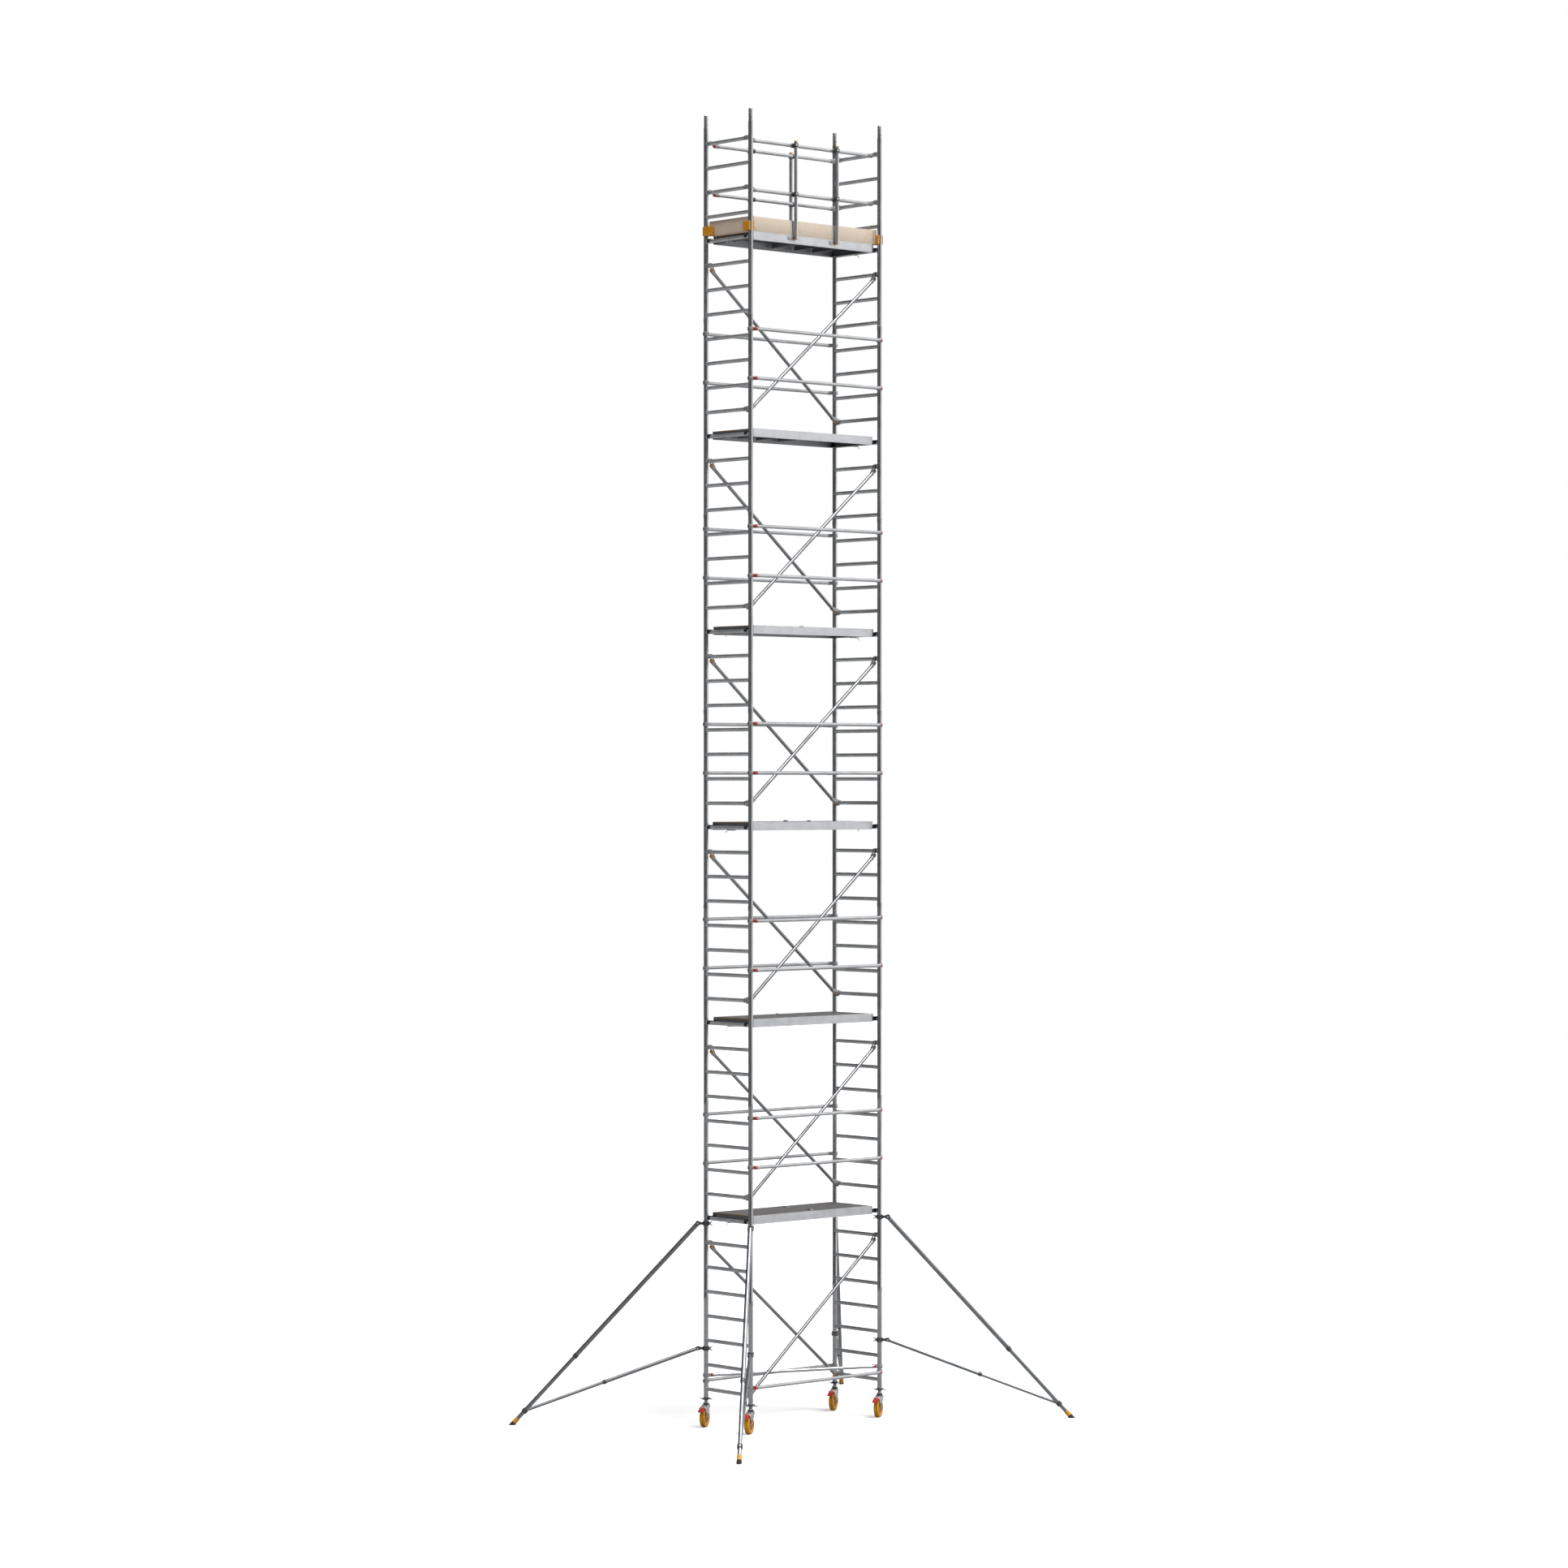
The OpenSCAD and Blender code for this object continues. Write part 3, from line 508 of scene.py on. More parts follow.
def polyurethane(name, colour, deep):
    """Cast tyre: a little translucent, scuffed where it rolls."""
    m = Nodes(name, 0.0, 0.04, 0.3)
    clouds = m.noise(24, 4, 0.6)
    scuff = m.range(m.noise(170, 6, 0.75), 0, 1, 0.5, 0.72)
    tone = m.ramp(clouds, [(0.3, deep), (0.6, colour), (0.85, scaled(colour, 1.12))])
    tone = m.mix(m.maths("MULTIPLY", scuff, 0.2), tone, scaled(deep, 0.6))
    m.shader.inputs["Subsurface Weight"].default_value = 0.12
    m.shader.inputs["Subsurface Radius"].default_value = (0.012, 0.006, 0.002)
    return m.done(tone, m.range(scuff, 0.3, 0.5), m.bump(scuff, 0.2, 0.0005))


def paint(name, colour, rough=0.38):
    """Powder coat with orange peel, chipped a little."""
    m = Nodes(name, 0.0, 0.2)
    peel = m.noise(620, 2, 0.4)
    fade = m.noise(22, 4, 0.6)
    chips = m.range(m.noise(240, 7, 0.8), 0, 1, 0.68, 0.71)
    tone = m.ramp(fade, [(0.3, scaled(colour, 0.82)), (0.7, scaled(colour, 1.1))])
    tone = m.mix(chips, tone, (0.09, 0.085, 0.08))
    return m.done(tone, m.range(fade, rough, rough + 0.14), m.bump(peel, 0.2, 0.0004))


def film_faced_ply(name, colour):
    """Phenol film with a pressed wire-mesh pattern, dusty and worn where people walk."""
    m = Nodes(name, 0.0, specular=0.4)
    mesh_x = m.wave(26, m.place(), "BANDS", "DIAGONAL")
    mesh_y = m.wave(26, m.place(turned=(0, 0, 90)), "BANDS", "DIAGONAL")
    mesh = m.maths("MAXIMUM", mesh_x, mesh_y)
    wear = m.noise(5, 6, 0.7, m.place((1, 2.4, 1)))
    grit = m.noise(320, 3, 0.7)
    tone = m.ramp(wear, [(0.32, scaled(colour, 0.8)), (0.55, colour), (0.78, scaled(colour, 1.35))])
    tone = m.mix(m.range(mesh, 0, 0.22, 0.6, 1), tone, scaled(colour, 1.7))
    tone = m.mix(m.range(grit, 0, 0.4, 0.55, 0.8), tone, scaled(colour, 1.5))
    return m.done(tone, m.range(wear, 0.5, 0.72), m.bump(mesh, 0.35, 0.0008, m.bump(grit, 0.2, 0.0004)))


def ply_edge(name, light, dark):
    """The stacked veneers that show along a board's edge."""
    m = Nodes(name, 0.0, specular=0.25)
    plies = m.wave(105, m.place(), "BANDS", "Z", 0.4, 1, "SAW")
    tone = m.ramp(plies, [(0.0, light), (0.48, light), (0.52, dark), (1.0, dark)])
    tone = m.mix(m.range(m.noise(90, 5, 0.7), 0, 0.4), tone, scaled(dark, 0.6))
    return m.done(tone, 0.75, m.bump(m.noise(260, 4, 0.7, m.place((0.2, 0.2, 1))), 0.4, 0.0006))


def birch(name, light, figure, knot):
    """Rotary-cut birch face: slow cathedral figure, fine pores, and a few small brown knots."""
    m = Nodes(name, 0.0, 0.06, 0.35)
    drift = m.noise(2.2, 3, 0.5, m.place((0.8, 1, 3.2)), 0.6)
    bands = m.maths("FRACT", m.maths("MULTIPLY", drift, 14))
    pores = m.noise(1, 4, 0.7, m.place((60, 60, 900)))
    spots = m.cells(3.4, m.place((1, 1, 1.5)))
    tone = m.ramp(bands, [(0.0, figure), (0.18, light), (0.8, light), (1.0, figure)])
    tone = m.mix(m.range(pores, 0, 0.35, 0.45, 0.8), tone, scaled(figure, 0.82))
    tone = m.mix(m.range(spots, 0.85, 0.0, 0.012, 0.05), tone, knot)
    return m.done(tone, m.range(pores, 0.42, 0.62), m.bump(pores, 0.18, 0.0004))


ALU_POST = drawn_metal("post_aluminium", (0.54, 0.55, 0.57), 0.22, "Z", 0.8)
ALU_RUNG = drawn_metal("rung_aluminium", (0.74, 0.75, 0.77), 0.40, "Y", 0.9)
ALU_BRACE = drawn_metal("brace_aluminium_x", (0.62, 0.63, 0.65), 0.30, "X", 0.5)
ALU_DIAGONAL = drawn_metal("diagonal_aluminium", (0.34, 0.345, 0.36), 0.32, "X", 0.5)
ALU_UPRIGHT = drawn_metal("upright_aluminium", (0.66, 0.67, 0.69), 0.28, "Z", 0.5)
ALU_BEAM = drawn_metal("platform_beam", (0.68, 0.695, 0.72), 0.40, "X", 0.6, 0.85)
# Platform aluminium made much darker than the side beams for the parts under the deck: painted shade.
ALU_CROSS_PAINTED_SHADE = drawn_metal("platform_cross_beam_painted_shade", (0.16, 0.165, 0.175), 0.5, "Y", 0.7, 0.6)
WELD = cast_metal("weld_metal", (0.62, 0.62, 0.63), 0.38, 700)
CAST = cast_metal("cast_aluminium", (0.50, 0.50, 0.51), 0.42)
CAST_DARK = cast_metal("cast_steel_dark", (0.14, 0.14, 0.145), 0.5)
ZINC = zinc("zinc_plate", (0.72, 0.73, 0.75), 0.26)
ZINC_DULL = zinc("zinc_dull", (0.45, 0.455, 0.46), 0.38)
# Bright zinc with a yellow cast: the yellow is a painted reflection of the amber tyre, used on the fork's
# side covers.
ZINC_WHEEL_REFLECTION = zinc("zinc_painted_wheel_reflection", (0.46, 0.43, 0.27), 0.42)
RED_PLASTIC = plastic("red_plastic", (0.60, 0.03, 0.015), 0.42)
ORANGE_PLASTIC = plastic("orange_plastic", (0.76, 0.33, 0.012), 0.45, coat=0.04)
BLACK_PLASTIC = plastic("black_plastic", (0.025, 0.025, 0.027), 0.45)
RED_PAINT = paint("red_powder_coat", (0.55, 0.03, 0.015))
TYRE = polyurethane("amber_tyre", (0.74, 0.34, 0.004), (0.60, 0.27, 0.003))
CORE = plastic("peach_wheel_core", (0.78, 0.42, 0.16), 0.5, 500, 0.0)
RUBBER = rubber("black_rubber", (0.02, 0.02, 0.021))
DECK = film_faced_ply("film_faced_plywood", (0.12, 0.113, 0.112))
DECK_EDGE = ply_edge("plywood_edge", (0.36, 0.25, 0.15), (0.17, 0.11, 0.065))
BIRCH = birch("birch_plywood", (0.78, 0.66, 0.535), (0.71, 0.58, 0.45), (0.30, 0.18, 0.10))
BIRCH_EDGE = ply_edge("birch_edge", (0.62, 0.46, 0.31), (0.36, 0.24, 0.15))


# ---------------------------------------------------------------- ladder frames


def saddle(angle, gap=0.0):
    """How far a rung's end stands off its post's middle line, at an angle around the rung."""
    side = (RUNG_R + gap) * math.cos(angle)
    return math.sqrt(max((POST_R + gap) ** 2 - side * side, 0))


def ribbed_rung():
    """A rung along Y with fine grip ribs, its ends coped to the posts."""
    shape = Shape()
    ribs, half = 30, POST_Y
    depth = 0.9
    angles, radii = [], []
    for n in range(ribs):
        for part, radius in ((0.05, RUNG_R), (0.45, RUNG_R), (0.55, RUNG_R - depth),
                             (0.95, RUNG_R - depth)):
            angles.append(2 * math.pi * (n + part) / ribs)
            radii.append(radius)
    points = []
    for end, inner in ((-1, 0), (1, 0), (1, 1), (-1, 1)):
        for a, r in zip(angles, radii):
            radius = RUNG_R - RUNG_WALL if inner else r
            y = end * (half - saddle(a))
            points.append((radius * math.cos(a), y, radius * math.sin(a)))
    sides = len(angles)
    faces = []
    for a in range(4):
        b = (a + 1) % 4
        for s in range(sides):
            t = (s + 1) % sides
            faces.append((a * sides + s, a * sides + t, b * sides + t, b * sides + s))
    shape.add(points, [f[::-1] for f in faces], 1)
    return shape


def weld_bead(seed):
    """The rippled fillet around a rung, on the post at y = 0 (the rung leaves along +Y)."""
    draw = random.Random(seed)
    shape = Shape()
    around, across = 60, 6
    width = 3.2
    points = []
    start = draw.random() * 6
    for n in range(around):
        a = 2 * math.pi * n / around
        swell = 1 + 0.16 * math.cos(20 * a + start) + 0.12 * math.sin(3 * a + start)
        centre = Vector(((RUNG_R + 0.3) * math.cos(a), saddle(a, 0.4), (RUNG_R + 0.3) * math.sin(a)))
        out = Vector((math.cos(a), 0, math.sin(a)))
        up = Vector((0, 1, 0))
        for s in range(across):
            b = 2 * math.pi * s / across
            points.append(centre + (out * math.cos(b) + up * math.sin(b)) * width * 0.62 * swell)
    rows = list(range(around))
    faces = rings(rows, across, closed_rows=True)
    return shape.add(points, [f[::-1] for f in faces], 2)


RUNG = ribbed_rung()
BEADS = [weld_bead(seed) for seed in range(4)]


def post_profile(height, joint):
    """A post as (radius, height) points. A joint end carries the swaged socket of the frame above."""
    inner = POST_R - WALL
    ease = 0.8
    low = [(inner, ease), (inner + ease, 0)]
    if joint:
        low += [(POST_R + 1.6, 0), (POST_R + 2.4, ease), (POST_R + 2.4, 44),
                (POST_R + 1.7, 47), (POST_R, 52)]
    else:
        low += [(POST_R - ease, 0), (POST_R, ease)]
    return low + [(POST_R, height - ease), (POST_R - ease, height), (inner + ease, height),
                  (inner, height - ease)]


def ladder_frames(level):
    shape = Shape()
    rungs = LEVEL_RUNGS if level else BASE_RUNGS
    first = BASE_RUNGS + LEVEL_RUNGS * (level - 1) if level else 0
    height = rungs * PITCH
    spigot_r = POST_R - WALL - 0.3
    for sx in (-1, 1):
        for sy in (-1, 1):
            foot = at(sx * POST_X, sy * POST_Y, level_z[level])
            lathe(shape, post_profile(height, level > 0), foot, 48, 0, closed=True)
            tip = height + SPIGOT_RISE
            spigot = [(spigot_r - WALL, height - 120), (spigot_r, height - 120), (spigot_r, tip - 5),
                      (spigot_r - 1.5, tip - 1), (spigot_r - 2.2, tip), (spigot_r - WALL, tip)]
            lathe(shape, spigot, foot, 40, 0, closed=True)
            for n in range(rungs):
                middle = at(sx * POST_X, sy * POST_Y, rung_z(first + n)) @ turn(0 if sy < 0 else 180, "Z")
                shape.put(BEADS[(n + level) % len(BEADS)], middle)
        for n in range(rungs):
            shape.put(RUNG, at(sx * POST_X, 0, rung_z(first + n)))
    name = f"frames_level_{level}"
    node = f"upper_frames_{level}" if level else "base_frames"
    return shape.piece(name, "tower", [ALU_POST, ALU_RUNG, WELD], "frame_aluminium", [node])


def snap_buttons():
    """Domed buttons on their leaf springs, one in each spigot."""
    shape = Shape()
    for level in range(LEVELS + 1):
        top = level_z[level] + PITCH * (LEVEL_RUNGS if level else BASE_RUNGS)
        for sx in (-1, 1):
            for sy in (-1, 1):
                place = at(sx * POST_X, sy * POST_Y, top + 35) @ turn(90, "X")
                dome = [(4.9, 0), (4.9, POST_R + 2.2), (4.2, POST_R + 3.4),
                        (2.5, POST_R + 4.2), (0, POST_R + 4.5)]
                lathe(shape, [(0, 0), *dome], place, 20)
                leaf = at(sx * POST_X, sy * POST_Y, top + 35)
                block(shape, (-6, -17, -70), (6, -15.8, 10), leaf, 0, 0.3, 1)
    return shape.piece("snap_buttons", "tower", [ZINC_DULL], "zinc_steel", ["lock_buttons"])


# ---------------------------------------------------------------- braces and rails


def rung_claw():
    """The cast claw over a rung: the rung is the origin's Y, and the tube's sleeve leaves along +X."""
    shape = Shape()
    inner = RUNG_R + 0.4
    outer = RUNG_R + 8.5
    half = 20
    hook = arc((0, 0), outer, -28, 205, 26)
    nose = [(-outer - 1, -16), (-inner - 2, -21), (-inner, -12)]
    mouth = arc((0, 0), inner, 205, -28, 24)
    prism(shape, hook + nose + mouth, -half, half, None, 0, 1.6)
    rib = arc((0, 0), outer + 2.6, 8, 172, 18) + arc((0, 0), outer - 1, 172, 8, 16)
    prism(shape, rib, -3.5, 3.5, None, 0, 1)
    rivet(shape, at(-outer + 4, -half, -9) @ turn(90, "X"), 4, 2, 1)
    rivet(shape, at(-outer + 4, half, -9) @ turn(-90, "X"), 4, 2, 1)
    return shape


def latch():
    """The sprung trigger under a claw that keeps the rung in."""
    shape = Shape()
    body = [(-4, -30), (30, -30), (36, -22), (30, -17), (12, -17),
            (6, -22.5), (-4, -23)]
    prism(shape, body, -9, 9, None, 0, 1.5)
    return shape


def sleeve(length=50):
    """The split sleeve that a claw grips its tube with, along +Z, with two rivets."""
    shape = Shape()
    r = TUBE_R + 0.25
    lathe(shape, [(r, 0), (r + 3.2, 0), (r + 4, 1), (r + 4, 6), (r + 2.6, 9),
                  (r + 2.6, length - 9), (r + 4, length - 6), (r + 4, length - 1),
                  (r + 3.2, length), (r, length)], None, 32, 0, closed=True)
    for z in (0.3, 0.7):
        for s in (-1, 1):
            rivet(shape, at(0, s * (r + 2.4), z * length) @ turn(-90 * s, "X"), 3.6, 1.9, 1)
    return shape


CLAW, LATCH, SLEEVE = rung_claw(), latch(), sleeve()


def end_cap():
    """A moulded cap on a tube's end, along +Z from the tube: a rim, a shallow dome and a moulding dimple."""
    shape = Shape()
    r = TUBE_R + 0.4
    profile = [(0, 0.3), (r - 1, 0.3), (r, 1.2), (r, CAP_L - 4), (r - 1.2, CAP_L - 1.4),
               (r - 4, CAP_L), (4, CAP_L), (3, CAP_L - 0.8), (0, CAP_L - 0.8)]
    return lathe(shape, profile, None, 36)


CAP = end_cap()


def diagonal_ends(i):
    low = Vector((BRACE_SHORT - POST_X - 2, -HOOK_Y, rung_z(i)))
    high = Vector((POST_X - 8, -HOOK_Y, rung_z(i + 6) - 35))
    return low, high


def diagonals():
    metal, caps = Shape(), Shape()
    for i in [LEVEL_RUNGS * k for k in range(LEVELS)]:
        low, high = diagonal_ends(i)
        run = (high - low).length
        pitch_angle = math.degrees(math.atan2(high.z - low.z, high.x - low.x))
        for side in (0, 180):
            spin = turn(side, "Z")
            tube_frame = spin @ along(low, high)
            lathe(metal, [(TUBE_R - 2, CAP_L), (TUBE_R, CAP_L), (TUBE_R, run - CAP_L),
                          (TUBE_R - 2, run - CAP_L)],
                  tube_frame, 36, 0, closed=True)
            caps.put(CAP, tube_frame @ at(0, 0, CAP_L) @ turn(180, "X"))
            caps.put(CAP, tube_frame @ at(0, 0, run - CAP_L))
            metal.put(shifted(SLEEVE, 1), tube_frame @ at(0, 0, CAP_L + 3))
            metal.put(shifted(SLEEVE, 1), tube_frame @ at(0, 0, run - CAP_L - 53))
            low_claw = spin @ at(-POST_X, -HOOK_Y, rung_z(i))
            metal.put(shifted(CLAW, 1), low_claw)
            metal.put(shifted(LATCH, 3), low_claw)
            high_claw = spin @ at(POST_X, -HOOK_Y, rung_z(i + 6)) @ Matrix.Scale(-1, 4, (1, 0, 0))
            metal.put(shifted(CLAW, 1), high_claw)
            webs(metal, low_claw, pitch_angle, low.x + POST_X, 0)
            webs(metal, high_claw, -pitch_angle, POST_X - high.x, high.z - rung_z(i + 6))
    metal.piece("diagonal_brace_set", "tower", [ALU_DIAGONAL, CAST, ZINC, CAST_DARK], "brace_aluminium",
                ["diagonal_braces"])
    return caps


def shifted(shape, by):
    """The same shape with its material numbers moved up."""
    other = Shape()
    other.points, other.faces, other.count = shape.points, shape.faces, shape.count
    other.slots = [slot + by for slot in shape.slots]
    return other


def webs(shape, claw_frame, tilt, x, z):
    """Two cheek plates from a claw's ring to the sleeve on its tube."""
    a = math.radians(tilt)
    along_tube, off = Vector((math.cos(a), math.sin(a))), Vector((-math.sin(a), math.cos(a)))
    end = Vector((x, z))
    r = TUBE_R + 2.5
    top = end + along_tube * 50 + off * r
    low = end + along_tube * 50 - off * r * 0.2
    ring = RUNG_R + 7
    outline = [(0, ring), tuple(top), tuple(low), tuple(end + along_tube * 16), (ring * 0.95, -4),
               (ring * 0.9, 9), (ring * 0.5, ring * 0.78)]
    for y in (-20, 15):
        prism(shape, outline, y, y + 5, claw_frame, 1, 1, 1)


def post_claw(offset, short):
    """The cast claw around a post. The post is the origin's Z, and the tube leaves along +X at -offset."""
    shape = Shape()
    half = 19
    inner, outer = POST_R + 0.4, POST_R + 8
    ring = arc((0, 0), outer, -162, 162, 34) + arc((0, 0), inner, 162, -162, 32)
    prism(shape, ring, -half, half, FLAT, 0, 1.6)
    band = arc((0, 0), outer + 2.4, -150, 100, 26) + arc((0, 0), outer - 1, 100, -150, 24)
    prism(shape, band, -4, 4, FLAT, 0, 1)
    socket = at(short + CAP_L + 1, -offset, 0) @ turn(90, "Y")
    if offset:
        cheek = [(short + 2, TUBE_R - offset), (short + 30, TUBE_R - offset), (short + 28, -POST_R + 4),
                 (POST_R + 8, -6), (POST_R - 4, 6), (POST_R - 4, -10)]
    else:
        end = short - 2
        cheek = [(POST_R - 1, -17), (end, -17), (end, 17), (POST_R - 1, 17)]
    prism(shape, cheek, -half + 1, half - 1, FLAT, 0, 3, 3)
    lathe(shape, [(TUBE_R + 0.6, 0), (half, 0), (half + 1, 1), (half + 1, 14),
                  (half, 16), (TUBE_R + 0.6, 16)], socket, 32, 0, closed=True)
    trigger = [(-outer - 1, -5), (-outer + 7, -9), (-inner + 4, -7), (-inner + 4, 7),
               (-outer + 7, 9), (-outer - 1, 5)]
    prism(shape, trigger, -7, 7, FLAT, 1, 1.2)
    return shape


def rails():
    metal, caps = Shape(), Shape()
    half = POST_X - BRACE_SHORT
    side_claw, plan_claw = post_claw(RAIL_OFFSET, RAIL_SHORT), post_claw(0, BRACE_SHORT)

    def rail(place, half_length):
        start, end = CAP_L - half_length, half_length - CAP_L
        lathe(metal, [(TUBE_R - 2, start), (TUBE_R, start), (TUBE_R, end), (TUBE_R - 2, end)],
              place @ turn(90, "Y"), 36, 0, closed=True)
        for s in (90, -90):
            caps.put(CAP, place @ turn(s, "Y") @ at(0, 0, end))

    side_rails = [rung_z(0) + 80] + [rung_z(deck_rung(k) + step) + RAIL_LIFT
                                          for k in range(1, LEVELS) for step in (2, 4)]
    top_rails = [rung_z(n) - TOP_RAIL_DROP for n in (TOP_RUNG - 2, TOP_RUNG)]
    for side in (0, 180):
        spin = turn(side, "Z")
        for z in side_rails:
            rail(spin @ at(0, -POST_Y - RAIL_OFFSET, z), POST_X - RAIL_SHORT)
            for s in (1, -1):
                place = spin @ at(-s * POST_X, -POST_Y, z) @ Matrix.Scale(s, 4, (1, 0, 0))
                metal.put(shifted(side_claw, 1), place)
        for z in top_rails:
            rail(spin @ at(0, -HOOK_Y, z), half)
            for s in (1, -1):
                place = spin @ at(-s * POST_X, -HOOK_Y, z + TOP_RAIL_DROP) @ Matrix.Scale(s, 4, (1, 0, 0))
                metal.put(shifted(CLAW, 1), place)
                webs(metal, place, 0, BRACE_SHORT, -TOP_RAIL_DROP)
                sleeve_place = place @ at(BRACE_SHORT + CAP_L + 2, 0, -TOP_RAIL_DROP) @ turn(90, "Y")
                metal.put(shifted(SLEEVE, 1), sleeve_place)
    angle = math.degrees(math.atan2(POST_Y, POST_X))
    plan_half = math.hypot(POST_X, POST_Y)
    plan = turn(-angle, "Z")
    z = rung_z(0) + 140
    rail(plan @ at(0, 0, z), plan_half - BRACE_SHORT)
    for s in (1, -1):
        metal.put(shifted(plan_claw, 1), plan @ at(-s * plan_half, 0, z) @ Matrix.Scale(s, 4, (1, 0, 0)))
    metal.piece("guard_rail_set", "tower", [ALU_BRACE, CAST, CAST_DARK, ZINC], "brace_aluminium",
                ["guard_rails"])
    caps.piece("red_end_caps", "tower", [RED_PLASTIC], "red_plastic", ["red_caps"])


# ---------------------------------------------------------------- platforms


def platform_frame(k):
    """Where platform k is: on its rung, turned so that trapdoors lie on alternate sides."""
    return at(0, 0, rung_z(deck_rung(k))) @ turn(0 if k % 2 else 180, "Z")


def side_beam():
    """An extruded side beam along X, its outer face at y = 0 and the platform towards +Y."""
    shape = Shape()
    low, high, t = -BEAM_DROP, BEAM_TOP, BEAM_T
    section = [(1.2, low), (t, low), (t, low + 3), (5, low + 3), (5, high - 16),
               (t, high - 16), (t, high - 13), (12, high - 13), (12, high), (1.2, high),
               (0, high - 1.2), (0, high - 14), (0.8, high - 15), (0.8, high - 18),
               (0, high - 19), (0, low + 15), (0.8, low + 14), (0.8, low + 11),
               (0, low + 10), (0, low + 1.2)]
    prism(shape, section, -PLATFORM_END, PLATFORM_END, CROSSWISE, 0, 0)
    for s in (-1, 1):
        block(shape, (s * PLATFORM_END - 14, 0.6, low + 2), (s * PLATFORM_END + 2, t - 1, high - 2),
              None, 2, 2)
        for z in (-8, 14, 36):
            rivet(shape, at(s * (PLATFORM_END - 30), 0.4, z) @ turn(90, "X"), 4.5, 1.6, 3)
    return shape


def platform_hook():
    """A cast hook over a rung. The rung is the origin's Y, and the platform is towards -X."""
    shape = Shape()
    inner, outer = RUNG_R + 0.35, RUNG_R + 10
    length = HOOK_BAR - 0.3
    outline = ([(-length, -13), (-inner, -13)] + arc((0, 0), inner, 180, 0, 18) + [(inner, -12),
            (inner + 6, -12.5)]
               + arc((0, 0), outer, 0, 96, 12) + [(-18, RUNG_R + 8), (-length, RUNG_R + 4)])
    prism(shape, outline, -17, 17, None, 2, 2.2)
    prism(shape, [(-length + 4, -9), (-26, -9), (-30, RUNG_R), (-length + 4, RUNG_R - 3)],
          -18.6, 18.6, None, 2, 1.5)
    for s in (-1, 1):
        bolt(shape, at(-44, s * 18, 5) @ turn(-90 * s, "X"), 6, 4, slot=3)
    return shape


BEAM, HOOK = side_beam(), platform_hook()


def cross_member(shape, x, width, low, high, half):
    """An open channel along Y with lips."""
    t = 2
    section = [(-width / 2, low), (width / 2, low), (width / 2, low + t), (t - width / 2, low + t),
               (t - width / 2, high - t),
               (width / 2, high - t), (width / 2, high), (-width / 2, high)]
    prism(shape, section, -half, half, at(x, 0, 0), 1, 0)


def hinge_fixed(shape):
    ear_t, gap = 6, 48
    knuckle = arc((0, HINGE_RISE), 5.4, -50, 130, 12)
    plate = [(-14, -1), (0, -1)] + knuckle + [(-14, 3)]
    for y in (-HINGE_Y, HINGE_Y):
        for s in (-1, 1):
            low = y + s * (gap + ear_t) / 2 - ear_t / 2
            prism(shape, plate, low, low + ear_t, at(HINGE_X, 0, BEAM_TOP), 3, 0.8)
        rod(shape, [(HINGE_X, y - 27, BEAM_TOP + HINGE_RISE), (HINGE_X, y, BEAM_TOP + HINGE_RISE),
                    (HINGE_X, y + 27, BEAM_TOP + HINGE_RISE)], 2.95, 3, 16)


def platform(k):
    shape = Shape()
    place = platform_frame(k)
    body = Shape()
    inner_y = DECK_HALF_W - BEAM_T
    support = BEAM_TOP - 12.8
    for s in (1, -1):
        beam_place = at(0, -s * DECK_HALF_W, 0) @ Matrix.Scale(s, 4, (0, 1, 0))
        body.put(BEAM, beam_place)
        for e in (1, -1):
            for y in (-1, 1):
                body.put(HOOK, at(e * POST_X, y * (DECK_HALF_W - 20), 0) @ Matrix.Scale(e, 4, (1, 0, 0)))
    # The cross members and the middle beam under the deck take the darkened aluminium: painted shade.
    for s in (-1, 1):
        cross_member(body, s * (PLATFORM_END - 15), -s * 30, 5 - BEAM_DROP, support, inner_y)
    for share in (-0.62, -0.31):
        cross_member(body, share * PLATFORM_END, 20, 0, support, inner_y)
    middle = HINGE_X - 14
    block(body, (middle - 12, -inner_y, 0), (middle + 12, inner_y, BEAM_TOP), None, 1, 1.2)
    hinge_fixed(body)
    edge = HINGE_X - 1.7
    half_door = inner_y - 24
    for s in (-1, 1):
        ledge = sorted((s * (half_door + 1.6), s * (inner_y - 0.1)))
        block(body, (edge, ledge[0], support - 6), (PLATFORM_END - 30, ledge[1], BEAM_TOP), None, 1, 1)
        rest = sorted((s * (half_door - 14), s * (half_door + 2)))
        block(body, (HINGE_X + 30, rest[0], support - 6), (PLATFORM_END - 31, rest[1], support), None, 1,
              0.8)
        for n in range(9):
            x = -PLATFORM_END + 40 + n * 94
            rivet(body, at(x, s * (DECK_HALF_W - 6.5), BEAM_TOP), 3.6, 1.6, 3, 12)
            x = HINGE_X + 40 + n * 88
            rivet(body, at(x, s * (DECK_HALF_W - 6.5), BEAM_TOP), 3.6, 1.6, 3, 12)
    for n in range(7):
        y = -inner_y + 40 + n * (2 * inner_y - 80) / 6
        rivet(body, at(middle, y, BEAM_TOP), 3.6, 1.6, 3, 12)
    shape.put(body, place)
    return shape.piece(f"platform_frame_{k}", "tower", [ALU_BEAM, ALU_CROSS_PAINTED_SHADE, CAST_DARK, ZINC],
                       "platform_aluminium",
                       [f"platform_{k}"])


